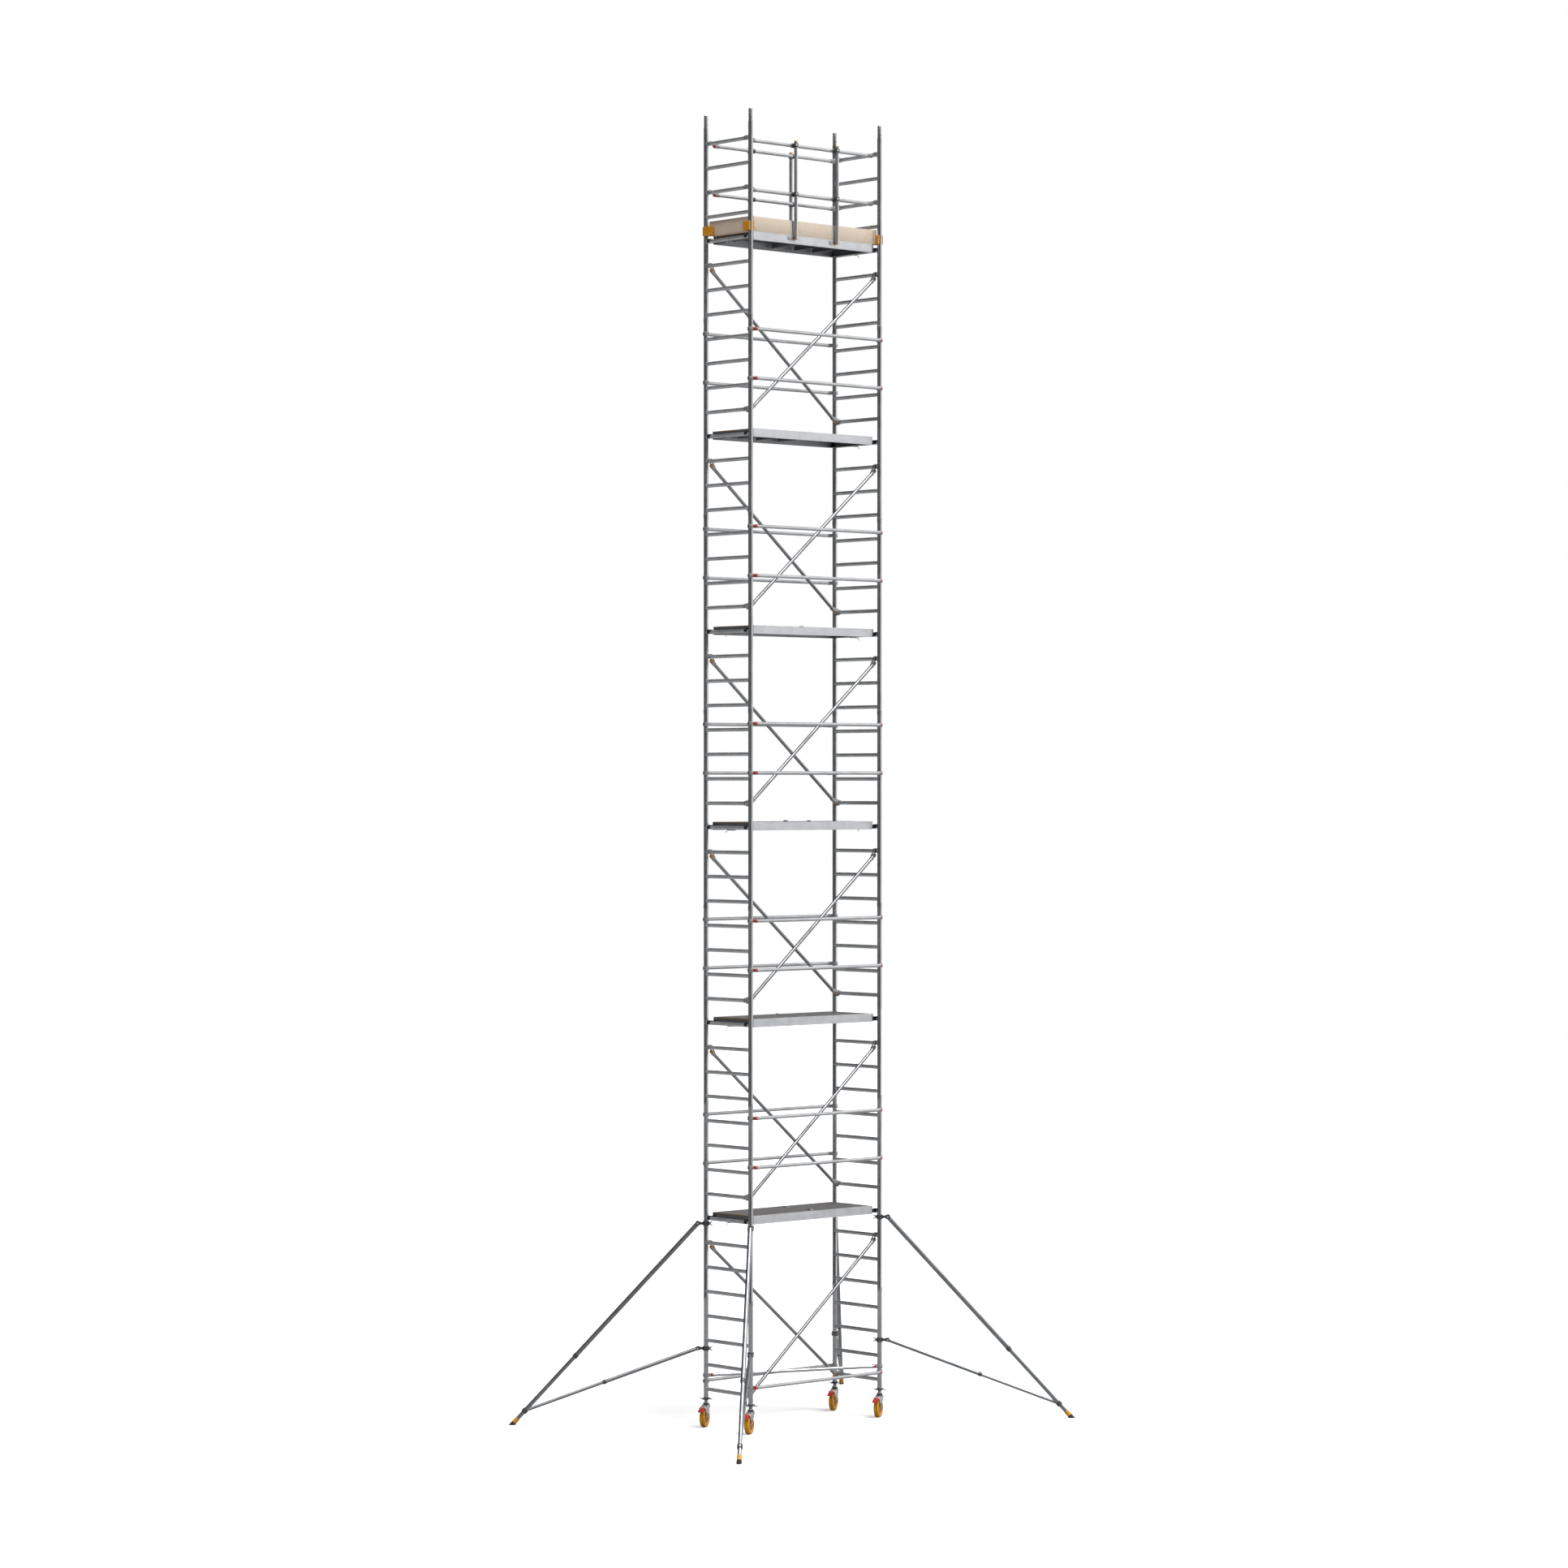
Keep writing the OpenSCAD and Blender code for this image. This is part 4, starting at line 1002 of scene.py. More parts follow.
def deck_board_set():
    """The fixed plywood half of each deck, with countersunk screws."""
    shape = Shape()
    inner_y = DECK_HALF_W - BEAM_T - 0.6
    low_x, high_x = 1 - PLATFORM_END, HINGE_X - 27
    top, bottom = BEAM_TOP - 0.5, BEAM_TOP - 12.5
    for k in range(1, LEVELS + 1):
        place = platform_frame(k)
        board(shape, low_x, high_x, inner_y, bottom, top, place)
        for share in (-0.975, -0.62, -0.31, 0.01):
            for n in range(6):
                y = (n - 2.5) / 2.5 * (inner_y - 30)
                lathe(shape, [(0, -0.6), (2.4, -0.2), (4.2, 0.25), (4.6, 0)],
                      place @ at(share * PLATFORM_END, y, top), 14, 2)
    return shape.piece("deck_board_set", "tower", [DECK, DECK_EDGE, ZINC_DULL], "plywood_grey",
                       ["deck_boards"])


def board(shape, low_x, high_x, half_y, bottom, top, place, hole=None):
    """A plywood board: film on both faces (material 0), bare veneers on the edges (material 1)."""
    loops = [[(low_x, -half_y), (high_x, -half_y), (high_x, half_y), (low_x, half_y)]]
    if hole:
        loops.append(hole)
    mesh_data = bmesh.new()
    for loop in loops:
        verts = [mesh_data.verts.new((x * MM, y * MM, bottom * MM)) for x, y in loop]
        for a, b in zip(verts, verts[1:] + verts[:1]):
            mesh_data.edges.new((a, b))
    bmesh.ops.triangle_fill(mesh_data, use_beauty=True, use_dissolve=False, edges=mesh_data.edges[:])
    grown = bmesh.ops.extrude_face_region(mesh_data, geom=mesh_data.faces[:], use_keep_orig=True)
    for v in grown["geom"]:
        if isinstance(v, bmesh.types.BMVert):
            v.co.z = top * MM
    bmesh.ops.recalc_face_normals(mesh_data, faces=mesh_data.faces[:])
    edges = [e for e in mesh_data.edges if len(e.link_faces) == 2 and e.calc_face_angle(0) > 1]
    bmesh.ops.bevel(mesh_data, geom=edges, offset=0.7 * MM, segments=1, profile=0.5, affect="EDGES")
    slots = [0 if abs(f.normal.z) > 0.9 else 1 for f in mesh_data.faces]
    return from_bmesh(shape, mesh_data, slots, place)


def trapdoor(k):
    """A plywood trapdoor with a hand hole, its frame, two hinge leaves and a turn catch."""
    shape = Shape()
    place = platform_frame(k)
    half_y = DECK_HALF_W - BEAM_T - 24
    low_x, high_x = HINGE_X + 2, PLATFORM_END - 1
    top, bottom = BEAM_TOP - 0.5, BEAM_TOP - 12.5
    hand_x = high_x - 47.5
    end_r = 12
    hole = (arc((hand_x, 33), end_r, 0, 180, 10) + arc((hand_x, -33), end_r, 180, 360, 10))[::-1]
    board(shape, low_x, high_x, half_y, bottom, top, place, hole)
    rim = arc((hand_x, 33), end_r + 5, 0, 180, 12) + arc((hand_x, -33), end_r + 5, 180, 360, 12)
    inner = arc((hand_x, 33), end_r - 0.4, 0, 180, 12) + arc((hand_x, -33), end_r - 0.4, 180, 360, 12)
    prism(shape, rim, top - 0.2, top + 1.2, place @ FLAT, 3, 0.4, 1, holes=[inner])
    for y in (-HINGE_Y, HINGE_Y):
        leaf = [(HINGE_X + 2.6, y - 23), (HINGE_X + 42, y - 23), (HINGE_X + 42, y + 23),
                (HINGE_X + 2.6, y + 23)]
        prism(shape, leaf, BEAM_TOP - 0.9, BEAM_TOP + 2.6, place @ FLAT, 2, 0.8)
        pivot = place @ at(HINGE_X, y, BEAM_TOP + HINGE_RISE)
        lathe(shape, [(3.1, -23.3), (5.2, -23.3), (6, -22.4), (6, 22.4),
                      (5.2, 23.3), (3.1, 23.3)], pivot @ turn(90, "X"), 24, 2, closed=True)
        for dx, dy in ((14, -14), (14, 14), (32, -14), (32, 14)):
            rivet(shape, place @ at(HINGE_X + dx, y + dy, BEAM_TOP + 2.5), 3.2, 1.4, 2, 12)
    catch = place @ at(high_x - 26, half_y - 42, top)
    lathe(shape, [(0, 1.5), (8, 1.5), (9, 0.9), (9, 0)], catch, 24, 2)
    block(shape, (-1.5, -7, 1), (1.5, 7, 2.6), catch, 3, 0.4, 1)
    for s in (-1, 1):
        for n in range(7):
            rivet(shape, place @ at(low_x + 60 + n * 108, s * (half_y - 12), top - 0.2), 3.2, 1, 2, 12)
    return shape.piece(f"trapdoor_panel_{k}", f"trapdoor_{k}", [DECK, DECK_EDGE, ZINC, CAST_DARK],
                       "plywood_grey",
                       [f"hatch_{k}"])


def wind_hooks():
    """The bent catch under each end of a platform."""
    shape = Shape()
    r = 4
    under = RUNG_R + 1 + r + 0.4
    for k in range(1, LEVELS + 1):
        for s in (0, 180):
            place = platform_frame(k) @ turn(s, "Z")
            bend = [(POST_X + 8, 0, -under)]
            bend += [(POST_X + 8 + 9 * math.sin(math.radians(a)), 0,
                      -under - 9 * (1 - math.cos(math.radians(a))))
                     for a in range(10, 60, 10)]
            last = Vector(bend[-1]) + Vector((0.6, 0, -0.78)) * 24
            rod(shape, [(PLATFORM_END - 24, 0, -under), (POST_X - 20, 0, -under), *bend, tuple(last)], r, 0,
                14, place)
            block(shape, (PLATFORM_END - 26, -9, -under - 2), (PLATFORM_END - 12, 9, -under + 6),
                  place, 0, 1)
    return shape.piece("wind_hook_set", "tower", [ZINC_DULL], "zinc_steel", ["wind_hooks"])


# ---------------------------------------------------------------- top platform: boards, brackets, posts


def rounded(low_x, low_z, high_x, high_z, radius, steps=5):
    """A rectangle with round corners, as an outline."""
    low_x, low_z, high_x, high_z = low_x + radius, low_z + radius, high_x - radius, high_z - radius
    corners = [(high_x, high_z), (low_x, high_z), (low_x, low_z), (high_x, low_z)]
    return [point for n, corner in enumerate(corners)
            for point in arc(corner, radius, 90 * n, 90 * n + 90, steps)]


def toe_boards():
    low, high = box("toe_boards")
    thick, height = 21, high.z - low.z
    end_x, end_y = high.x, high.y
    out_y = DECK_HALF_W - 1
    long_half = end_x - thick - 0.5
    shape = Shape()
    for side in (0, 180):
        spin = turn(side, "Z")
        ply(shape, (-long_half, -out_y, low.z), (long_half, thick - out_y, low.z + height), spin, 1)
        ply(shape, (end_x - thick, -end_y, low.z), (end_x, end_y, low.z + height), spin, 0)
        for x in GUARD_POST_X:
            strip = [(x - 52, low.z + 1), (x - 22, low.z + 1), (x - 22, low.z + height - 1),
                     (x - 52, low.z + height - 1)]
            prism(shape, strip, -out_y - 3, 0.5 - out_y, spin, 2, 0.8)
            for share in (0.15, 0.5, 0.85):
                rivet(shape, spin @ at(x - 37, -out_y - 3, low.z + share * height) @ turn(90, "X"), 3.4,
                      1.4, 2, 14)
    return shape.piece("toe_board_set", "tower", [BIRCH, BIRCH_EDGE, ALU_UPRIGHT], "birch", ["toe_boards"])


def ply(shape, low, high, place, thin):
    """An upright board, thin along one axis: birch on its two wide faces, veneer edges elsewhere."""
    mesh_data = bmesh.new()
    bmesh.ops.create_cube(mesh_data, size=1)
    for v in mesh_data.verts:
        v.co = Vector((low[n] if v.co[n] < 0 else high[n] for n in range(3))) * MM
    bevelled(mesh_data, 1.2, 2)
    slots = [0 if abs(f.normal[thin]) > 0.9 else 1 for f in mesh_data.faces]
    return from_bmesh(shape, mesh_data, slots, place)


def toe_bracket():
    """The moulded clip on a post that holds the end of an end board, ribbed outside.
    The post is the origin's Z, and the middle of the tower lies towards -X and -Y."""
    shape = Shape()
    height = 94
    boards = box("toe_boards")[1]
    board_x = boards.x - POST_X + 0.6
    board_y = boards.y - POST_Y + 0.6
    outer, inner = POST_R + 9, POST_R + 0.6
    gap = math.degrees(math.asin(17 / inner))
    mouth = math.sqrt(inner ** 2 - (17) ** 2)
    bore = arc((0, 0), inner, 180 - gap, 360 + gap, 30)
    ribs = []
    y = 16
    while y > -80:
        ribs += [(outer, y), (outer, y - 7), (outer - 2.5, y - 8.5), (outer - 2.5, y - 11.5)]
        y -= 13
    outline = ([(mouth, 17), (outer - 2.5, 17)] + ribs + [(outer - 2.5, -88), (board_x, -88),
               (board_x, board_y), (board_x - 5, board_y), (board_x - 5, 17), (-mouth, 17)]
               + bore[1:-1])
    prism(shape, outline, 1, height, FLAT, 0, 0.8, 1)
    return shape


def orange_parts(caps):
    top = rung_z(deck_rung(LEVELS))
    bracket = toe_bracket()
    for sx in (-1, 1):
        for sy in (-1, 1):
            mirrored = Matrix.Scale(sx, 4, (1, 0, 0)) @ Matrix.Scale(sy, 4, (0, 1, 0))
            caps.put(bracket, at(sx * POST_X, sy * POST_Y, top + BEAM_TOP) @ mirrored)
    r = GUARD_POST_R
    plug = [(0, 0), (r - 3, 0), (r, 0), (r + 0.4, 0.8), (r + 0.4, 6), (r - 1.5, 9.4),
            (r - 5, 10), (0, 10)]
    for side in (0, 180):
        for x in GUARD_POST_X:
            low = turn(side, "Z") @ at(x, -GUARD_POST_Y, top + GUARD_POST_LOW)
            lathe(caps, plug, low @ turn(180, "X"), 32)
            lathe(caps, plug, low @ at(0, 0, GUARD_POST_L), 32)
    return caps.piece("orange_end_caps", "tower", [ORANGE_PLASTIC], "orange_plastic", ["orange_caps"])


def guard_posts():
    shape = Shape()
    top = rung_z(deck_rung(LEVELS))
    rails = [rung_z(n) - TOP_RAIL_DROP for n in (TOP_RUNG - 2, TOP_RUNG)]
    for side in (0, 180):
        spin = turn(side, "Z")
        for x in GUARD_POST_X:
            low = spin @ at(x, -GUARD_POST_Y, top + GUARD_POST_LOW)
            lathe(shape, [(GUARD_POST_R - 2, 0), (GUARD_POST_R, 0), (GUARD_POST_R, GUARD_POST_L),
                          (GUARD_POST_R - 2, GUARD_POST_L)],
                  low, 40, 0, closed=True)
            for z in rails:
                upright = spin @ at(x, -GUARD_POST_Y, z)
                collar = arc((0, 0), GUARD_POST_R + 6, 100, 440, 34)[:-1]
                bore = arc((0, 0), GUARD_POST_R + 0.3, 100, 440, 30)[:-1]
                prism(shape, collar, -20, 20, upright @ FLAT, 1, 1.6, holes=[bore])
                reach = GUARD_POST_Y - HOOK_Y
                saddle_ring = arc((0, 0), TUBE_R + 6, 100, 440, 30)[:-1]
                saddle_bore = arc((0, 0), TUBE_R + 0.3, 100, 440, 30)[:-1]
                prism(shape, saddle_ring, -20, 20, spin @ at(x, -HOOK_Y, z) @ CROSSWISE, 1, 1.6,
                      holes=[saddle_bore])
                if reach > 2 * GUARD_POST_R:
                    block(shape, (-13, GUARD_POST_R + 4, -16), (13, reach - TUBE_R - 3, 16), upright, 1, 2)
                bolt(shape, upright @ at(-12, -GUARD_POST_R - 4, 0) @ turn(90, "X"), 7, 5, slot=2)
            plate = rounded(-90, 9, 10, 49, 6)
            prism(shape, plate, -DECK_HALF_W - 6, -DECK_HALF_W - 0.4, spin @ at(x, 0, top), 3, 0.8)
            for dx in (-78, -52):
                for dz in (18, 40):
                    rivet(shape, spin @ at(x + dx, -DECK_HALF_W - 6, top + dz) @ turn(90, "X"), 3.6, 1.6, 2,
                          14)
    return shape.piece("guard_post_set", "tower", [ALU_UPRIGHT, CAST_DARK, ZINC, ZINC_DULL],
                       "brace_aluminium", ["guard_posts"])


# ---------------------------------------------------------------- jacks and castors


def jack(i):
    """The jack leg: a rolled trapezoidal thread, plain near the top, with the castor's upper race."""
    shape = Shape()
    low, high = box(f"jack_leg_{i}")
    place = at(*corner_post(i), 0)
    radius, pitch, depth = 19, 8, 2.2
    flange_z = low.z
    crown = box(f"castor_fork_{i}")[1].z
    start, end = crown + 6.3, high.z
    sides = 40
    threaded = 320
    heights = [start + n for n in range(threaded)]
    points = []
    for z in heights:
        for s in range(sides):
            phase = (z / pitch - s / sides) % 1
            cut = max(0, 1 - abs(phase - 0.5) / 0.32)
            r = radius - depth * min(1, cut * 1.8)
            a = 2 * math.pi * s / sides
            points.append((r * math.cos(a), r * math.sin(a), z))
    faces = rings(heights, sides)
    shape.add(points, faces, 0, place)
    lathe(shape, [(radius, heights[-1]), (radius, end - 2), (radius - 2, end), (0, end)], place, sides, 0)
    lathe(shape, [(0, crown + 0.3), (26, crown + 0.3), (28, crown + 1.6), (28, crown + 4),
                  (24, crown + 6), (20, crown + 7), (0, crown + 7)], place, 40, 1)
    lathe(shape, [(0, flange_z + 9), (7.9, flange_z + 9), (7.9, crown + 1), (0, crown + 1)], place, 24, 1)
    lathe(shape, [(0, flange_z + 0.2), (11.4, flange_z + 0.2), (12.9, flange_z + 1.2),
                  (12.9, flange_z + 8.6), (0, flange_z + 8.6)], place, 6, 1)
    return shape.piece(f"jack_spindle_{i}", f"jack_{i}", [ZINC_DULL, ZINC], "zinc_steel", [f"jack_leg_{i}"])


def jack_nut(i):
    """The cast adjusting nut with four tapered arms."""
    shape = Shape()
    low, high = box(f"jack_nut_{i}")
    place = at(*corner_post(i), low.z)
    height = high.z - low.z
    bore = 19.4
    r = POST_R + 5.5
    lathe(shape, [(bore, 1), (bore + 1, 0), (r - 4, 0), (r, 4), (r, height - 7), (r - 3, height - 2),
                  (r - 4, height), (bore + 1, height), (bore, height - 1)], place, 44, 0, closed=True)
    arm = [(22, -7), (60, -4)] + arc((69, 0), 6.5, -140, 140, 10) + [(60, 4), (22, 7)]
    for a in (15, 105, 195, 285):
        prism(shape, arm, 5.5, 13.5, place @ turn(a, "Z") @ FLAT, 0, 2)
    return shape.piece(f"jack_nut_casting_{i}", f"nut_{i}", [CAST_DARK], "cast_metal", [f"jack_nut_{i}"])


def castor_place(i):
    """The castor's frame: swivel axis Z, wheel trailing towards -X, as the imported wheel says."""
    x, y = corner_post(i)
    low, high = box(f"castor_wheel_{i}")
    middle = (low + high) / 2
    away = Vector((x - middle.x, y - middle.y))
    return at(x, y, 0) @ turn(math.degrees(math.atan2(away.y, away.x)), "Z"), away.length


def fork(i):
    shape = Shape()
    place, trail = castor_place(i)
    wheel_low, wheel_high = box(f"castor_wheel_{i}")
    wheel_r = (wheel_high.z - wheel_low.z) / 2
    top = box(f"castor_fork_{i}")[1].z
    crown = top - 32
    inner, t = 29, 5
    brake_x, brake_z = -trail - 62, 2 * wheel_r - 4
    plate = ([(38, crown + 2), (40, crown - 10), (26, crown - 40)]
             + arc((-trail, wheel_r), 27, 15, -165, 14)
             + [(-trail - 34, wheel_r + 40)] + arc((brake_x, brake_z), 12, 250, 100, 8)
             + [(-44, crown + 2)])
    for y in (-inner - t, inner):
        prism(shape, plate, y, y + t, place, 0, 1.6)
    for s in (-1, 1):
        rod(shape, [(36, s * (inner + t - 1), crown - 6), (20, s * (inner + t), crown - 50),
                    (-trail + 20, s * (inner + t), wheel_r + 26)], 2.6, 0, 10, place)
    lathe(shape, [(0, crown), (38, crown), (42, crown + 2), (42, crown + 12), (39, crown + 14),
                  (31, crown + 14.5), (0, crown + 14.5)], place, 56, 0)
    lathe(shape, [(0, crown + 13), (29, crown + 13), (30, crown + 15), (30, crown + 22), (27.5, crown + 23),
                  (27.5, crown + 24.5), (30, crown + 25.5), (30, top - 1.5), (28.5, top), (0, top)],
          place, 48, 2)
    crown_plate = rounded(-42, -inner - t, 40, inner + t, 10)
    prism(shape, crown_plate, crown, crown + 6, place @ FLAT, 0, 2)
    for a in (45, 135, 225, 315):
        spot = place @ turn(a, "Z") @ at(34, 0, crown + 14)
        bolt(shape, spot, 5, 3.5, slot=1)
    # The side cover plates are tinted yellow by a painted reflection of the amber tyre in their zinc.
    for s in (-1, 1):
        cover = rounded(-trail - 22, wheel_r - 24, -trail + 26, wheel_r + 62, 12)
        low_y, high_y = sorted((s * (inner + t), s * (inner + t + 2.4)))
        prism(shape, cover, low_y, high_y, place, 3, 0.9)
        axle = place @ at(-trail, s * (inner + t + 2.2), wheel_r) @ turn(-90 * s, "X")
        bolt(shape, axle, 11, 6.5, slot=1)
        lathe(shape, [(0, 8), (6, 8), (6, 9.5), (5, 10.5), (0, 10.5)], axle, 20, 1)
        pin = place @ at(brake_x, s * (inner + t), brake_z) @ turn(-90 * s, "X")
        lathe(shape, [(0, 0), (6.5, 0), (6.5, 1.4), (5, 2.4), (0, 2.6)], pin, 20, 1)
    lathe(shape, [(0, -inner - t), (9.8, -inner - t), (9.8, inner + t), (0, inner + t)],
          place @ at(-trail, 0, wheel_r) @ turn(90, "X"), 24, 1)
    lathe(shape, [(0, -inner - t), (3.9, -inner - t), (3.9, inner + t), (0, inner + t)],
          place @ at(brake_x, 0, brake_z) @ turn(90, "X"), 16, 1)
    return shape.piece(f"castor_fork_pressing_{i}", f"fork_{i}", [ZINC, ZINC_DULL, CAST_DARK, ZINC_WHEEL_REFLECTION],
                       "zinc_steel", [f"castor_fork_{i}"])


def wheel(i):
    """The wheel: a moulded core with ribs and a bearing, and a crowned polyurethane tyre."""
    shape = Shape()
    place, trail = castor_place(i)
    low, high = box(f"castor_wheel_{i}")
    r = (high.z - low.z) / 2
    w = 25
    hub = place @ at(-trail, 0, r) @ turn(90, "X")
    tyre_in = r - 25
    tread = [(tyre_in, -w + 1), (tyre_in + 3, -w), (r - 9, -w + 0.5)]
    tread += [(r - 9 + 9 * math.sin(math.radians(a)),
               -w + 9.5 - 9 * math.cos(math.radians(a))) for a in range(15, 91, 15)]
    tread += [(r, 0)]
    tread += [(x, -z) for x, z in reversed(tread[:-1])]
    lathe(shape, tread + [(tyre_in - 2, w - 6), (tyre_in - 2, -w + 6)], hub, 96, 0, closed=True)
    rim = [(tyre_in - 1, -w + 3), (tyre_in - 6, -w + 1), (tyre_in - 10, -w + 3), (tyre_in - 12, -8),
           (34, -7), (29, -w - 1), (26, -w - 2), (14, -w - 2), (13, -w - 1)]
    lathe(shape, rim + [(x, -z) for x, z in reversed(rim)], hub, 72, 1, closed=True)
    for n in range(10):
        for s in (-1, 1):
            rib = hub @ turn(36 * n, "Z")
            low_z, high_z = sorted((s * 7, s * (w - 5)))
            block(shape, (27, -1.8, low_z), (tyre_in - 8, 1.8, high_z), rib, 1, 1)
    for s in (-1, 1):
        lathe(shape, [(10.2, s * (w + 2.2)), (13.2, s * (w + 2.2)), (13.2, s * (w - 6)),
                      (10.2, s * (w - 6))],
              hub, 32, 2, closed=True)
    return shape.piece(f"castor_wheel_tyred_{i}", f"wheel_{i}", [TYRE, CORE, ZINC_DULL],
                       "amber_polyurethane", [f"castor_wheel_{i}"], sharp=28)


def brake(i):
    """The red foot pedal, ribbed for grip, with its black shoe above the tyre."""
    shape = Shape()
    place, trail = castor_place(i)
    wheel_low, wheel_high = box(f"castor_wheel_{i}")
    pivot = place @ at(-trail - 62, 0, wheel_high.z - wheel_low.z - 4)
    w = 27
    blade = [(-4, 4), (-30, 4.2), (-72, 3.4)] + arc((-80, -0.5), 5.5, 80, 250, 8) + [(-72, -4), (-30, -3.6),
            (-4, -4)]
    tilted = pivot @ turn(-18, "Y")
    prism(shape, blade, -w, w, tilted, 0, 1.8)
    for n in range(5):
        x = -46 - n * 8
        block(shape, (x - 1.6, -w + 5, 3), (x + 1.6, w - 5, 5.6), tilted, 0, 0.9)
    for s in (-1, 1):
        low_y, high_y = sorted((s * (w - 3.5), s * w))
        cheek = [(-60, 3), (-6, 8)] + arc((0, 0), 8, 110, -70, 8) + [(-16, -8), (-60, -4)]
        prism(shape, cheek, low_y, high_y, pivot @ turn(-14, "Y"), 0, 0.9)
    lathe(shape, [(4.1, -w), (7.2, -w), (8, -w + 0.8), (8, w - 0.8), (7.2, w), (4.1, w)],
          pivot @ turn(90, "X"), 28, 0, closed=True)
    shoe = [(-20, -5), (-12, -3), (-12, -18), (-14, -20), (-20, -20)]
    prism(shape, shoe, -w + 8, w - 8, pivot, 1, 1)
    return shape.piece(f"brake_pedal_pressing_{i}", f"brake_{i}", [RED_PAINT, RUBBER], "red_paint",
                       [f"castor_brake_{i}"])


# ---------------------------------------------------------------- stabilisers


def joint_of(name):
    return next(j for j in frame["joints"] if j["name"] == name)


def in_plane(i):
    """A stabiliser's own frame: the post's axis is Z and the leg points along +X."""
    x, y = corner_post(i)
    low, high = box(f"stabiliser_foot_{i}")
    foot = (low + high) / 2
    heading = math.degrees(math.atan2(foot.y - y, foot.x - x))
    return at(x, y, 0) @ turn(heading, "Z")


slide = joint_of("stabiliser_slide_1")
STRUT_DOWN = -Vector(slide["axis"]).normalized()
STRUT_SLOPE = math.degrees(math.asin(-STRUT_DOWN.z))
REACH = 2000
ELBOW_X = 85
STRUT_R = 23.5
INNER_R = 20.2
STRUT_LENGTH = 1880
UPPER_CLAMP = (REACH - ELBOW_X) * math.tan(math.radians(STRUT_SLOPE))
LOWER_CLAMP = rung_z(2) - 85
COUPLING_BACK = 200


def plane_point(x, z):
    return Vector((x, 0, z))


def post_coupler(shape, place, z):
    """A hinged half coupler around a post: ring, keeper, eye bolt and wing nut."""
    ring_r = POST_R + 9
    middle = place @ at(0, 0, z)
    half = 23
    for first, last in ((4, 174), (186, 356)):
        outer = arc((0, 0), ring_r, first, last, 22)
        inner = arc((0, 0), POST_R + 0.4, last, first, 20)
        prism(shape, outer + inner, -half, half, middle @ FLAT, 1, 1.8)
    for h in (-15, 15):
        for first, last in ((20, 160), (200, 340)):
            band = arc((0, 0), ring_r + 2.2, first, last, 18) + arc((0, 0), ring_r - 1, last, first, 16)
            prism(shape, band, h - 2.5, h + 2.5, middle @ FLAT, 1, 0.9, 1)
    bolt_x = -ring_r - 7
    for s in (-1, 1):
        low, high = sorted((s * 2, s * 14))
        block(shape, (bolt_x - 9, low, -12), (bolt_x + 14, high, 12), middle, 1, 2.4)
    rod(shape, [(bolt_x, -20, 0), (bolt_x, 10, 0), (bolt_x, 40, 0)], 4.9, 2, 16, middle)
    nut = middle @ at(bolt_x, 15, 0) @ turn(-90, "X")
    lathe(shape, [(0, 0), (9, 0), (9, 1.5), (7.6, 4), (7, 9), (0, 9)], nut, 24, 3)
    wing = [(5, 0), (15, 5)] + arc((17, 20), 6.5, -60, 150, 10) + [(6, 9)]
    for s in (1, -1):
        outline = [(s * x, -z) for x, z in wing]
        prism(shape, outline, -3, 3, nut @ turn(90, "X") @ turn(90, "Y"), 3, 1.4)
    stub = [(ring_r - 2, -15), (ELBOW_X - 18, -11), (ELBOW_X - 18, 11), (ring_r - 2, 15)]
    prism(shape, stub, -12, 12, middle, 1, 3, 3)
    return shape


def snap_hole_button(shape, place, radius, slot):
    """A sprung button showing through a tube, at the frame's origin, pointing along +Y."""
    lathe(shape, [(0, radius - 3), (5, radius - 3), (5, radius + 1.6), (3.6, radius + 3),
                  (0, radius + 3.5)],
          place @ turn(-90, "X"), 18, slot)


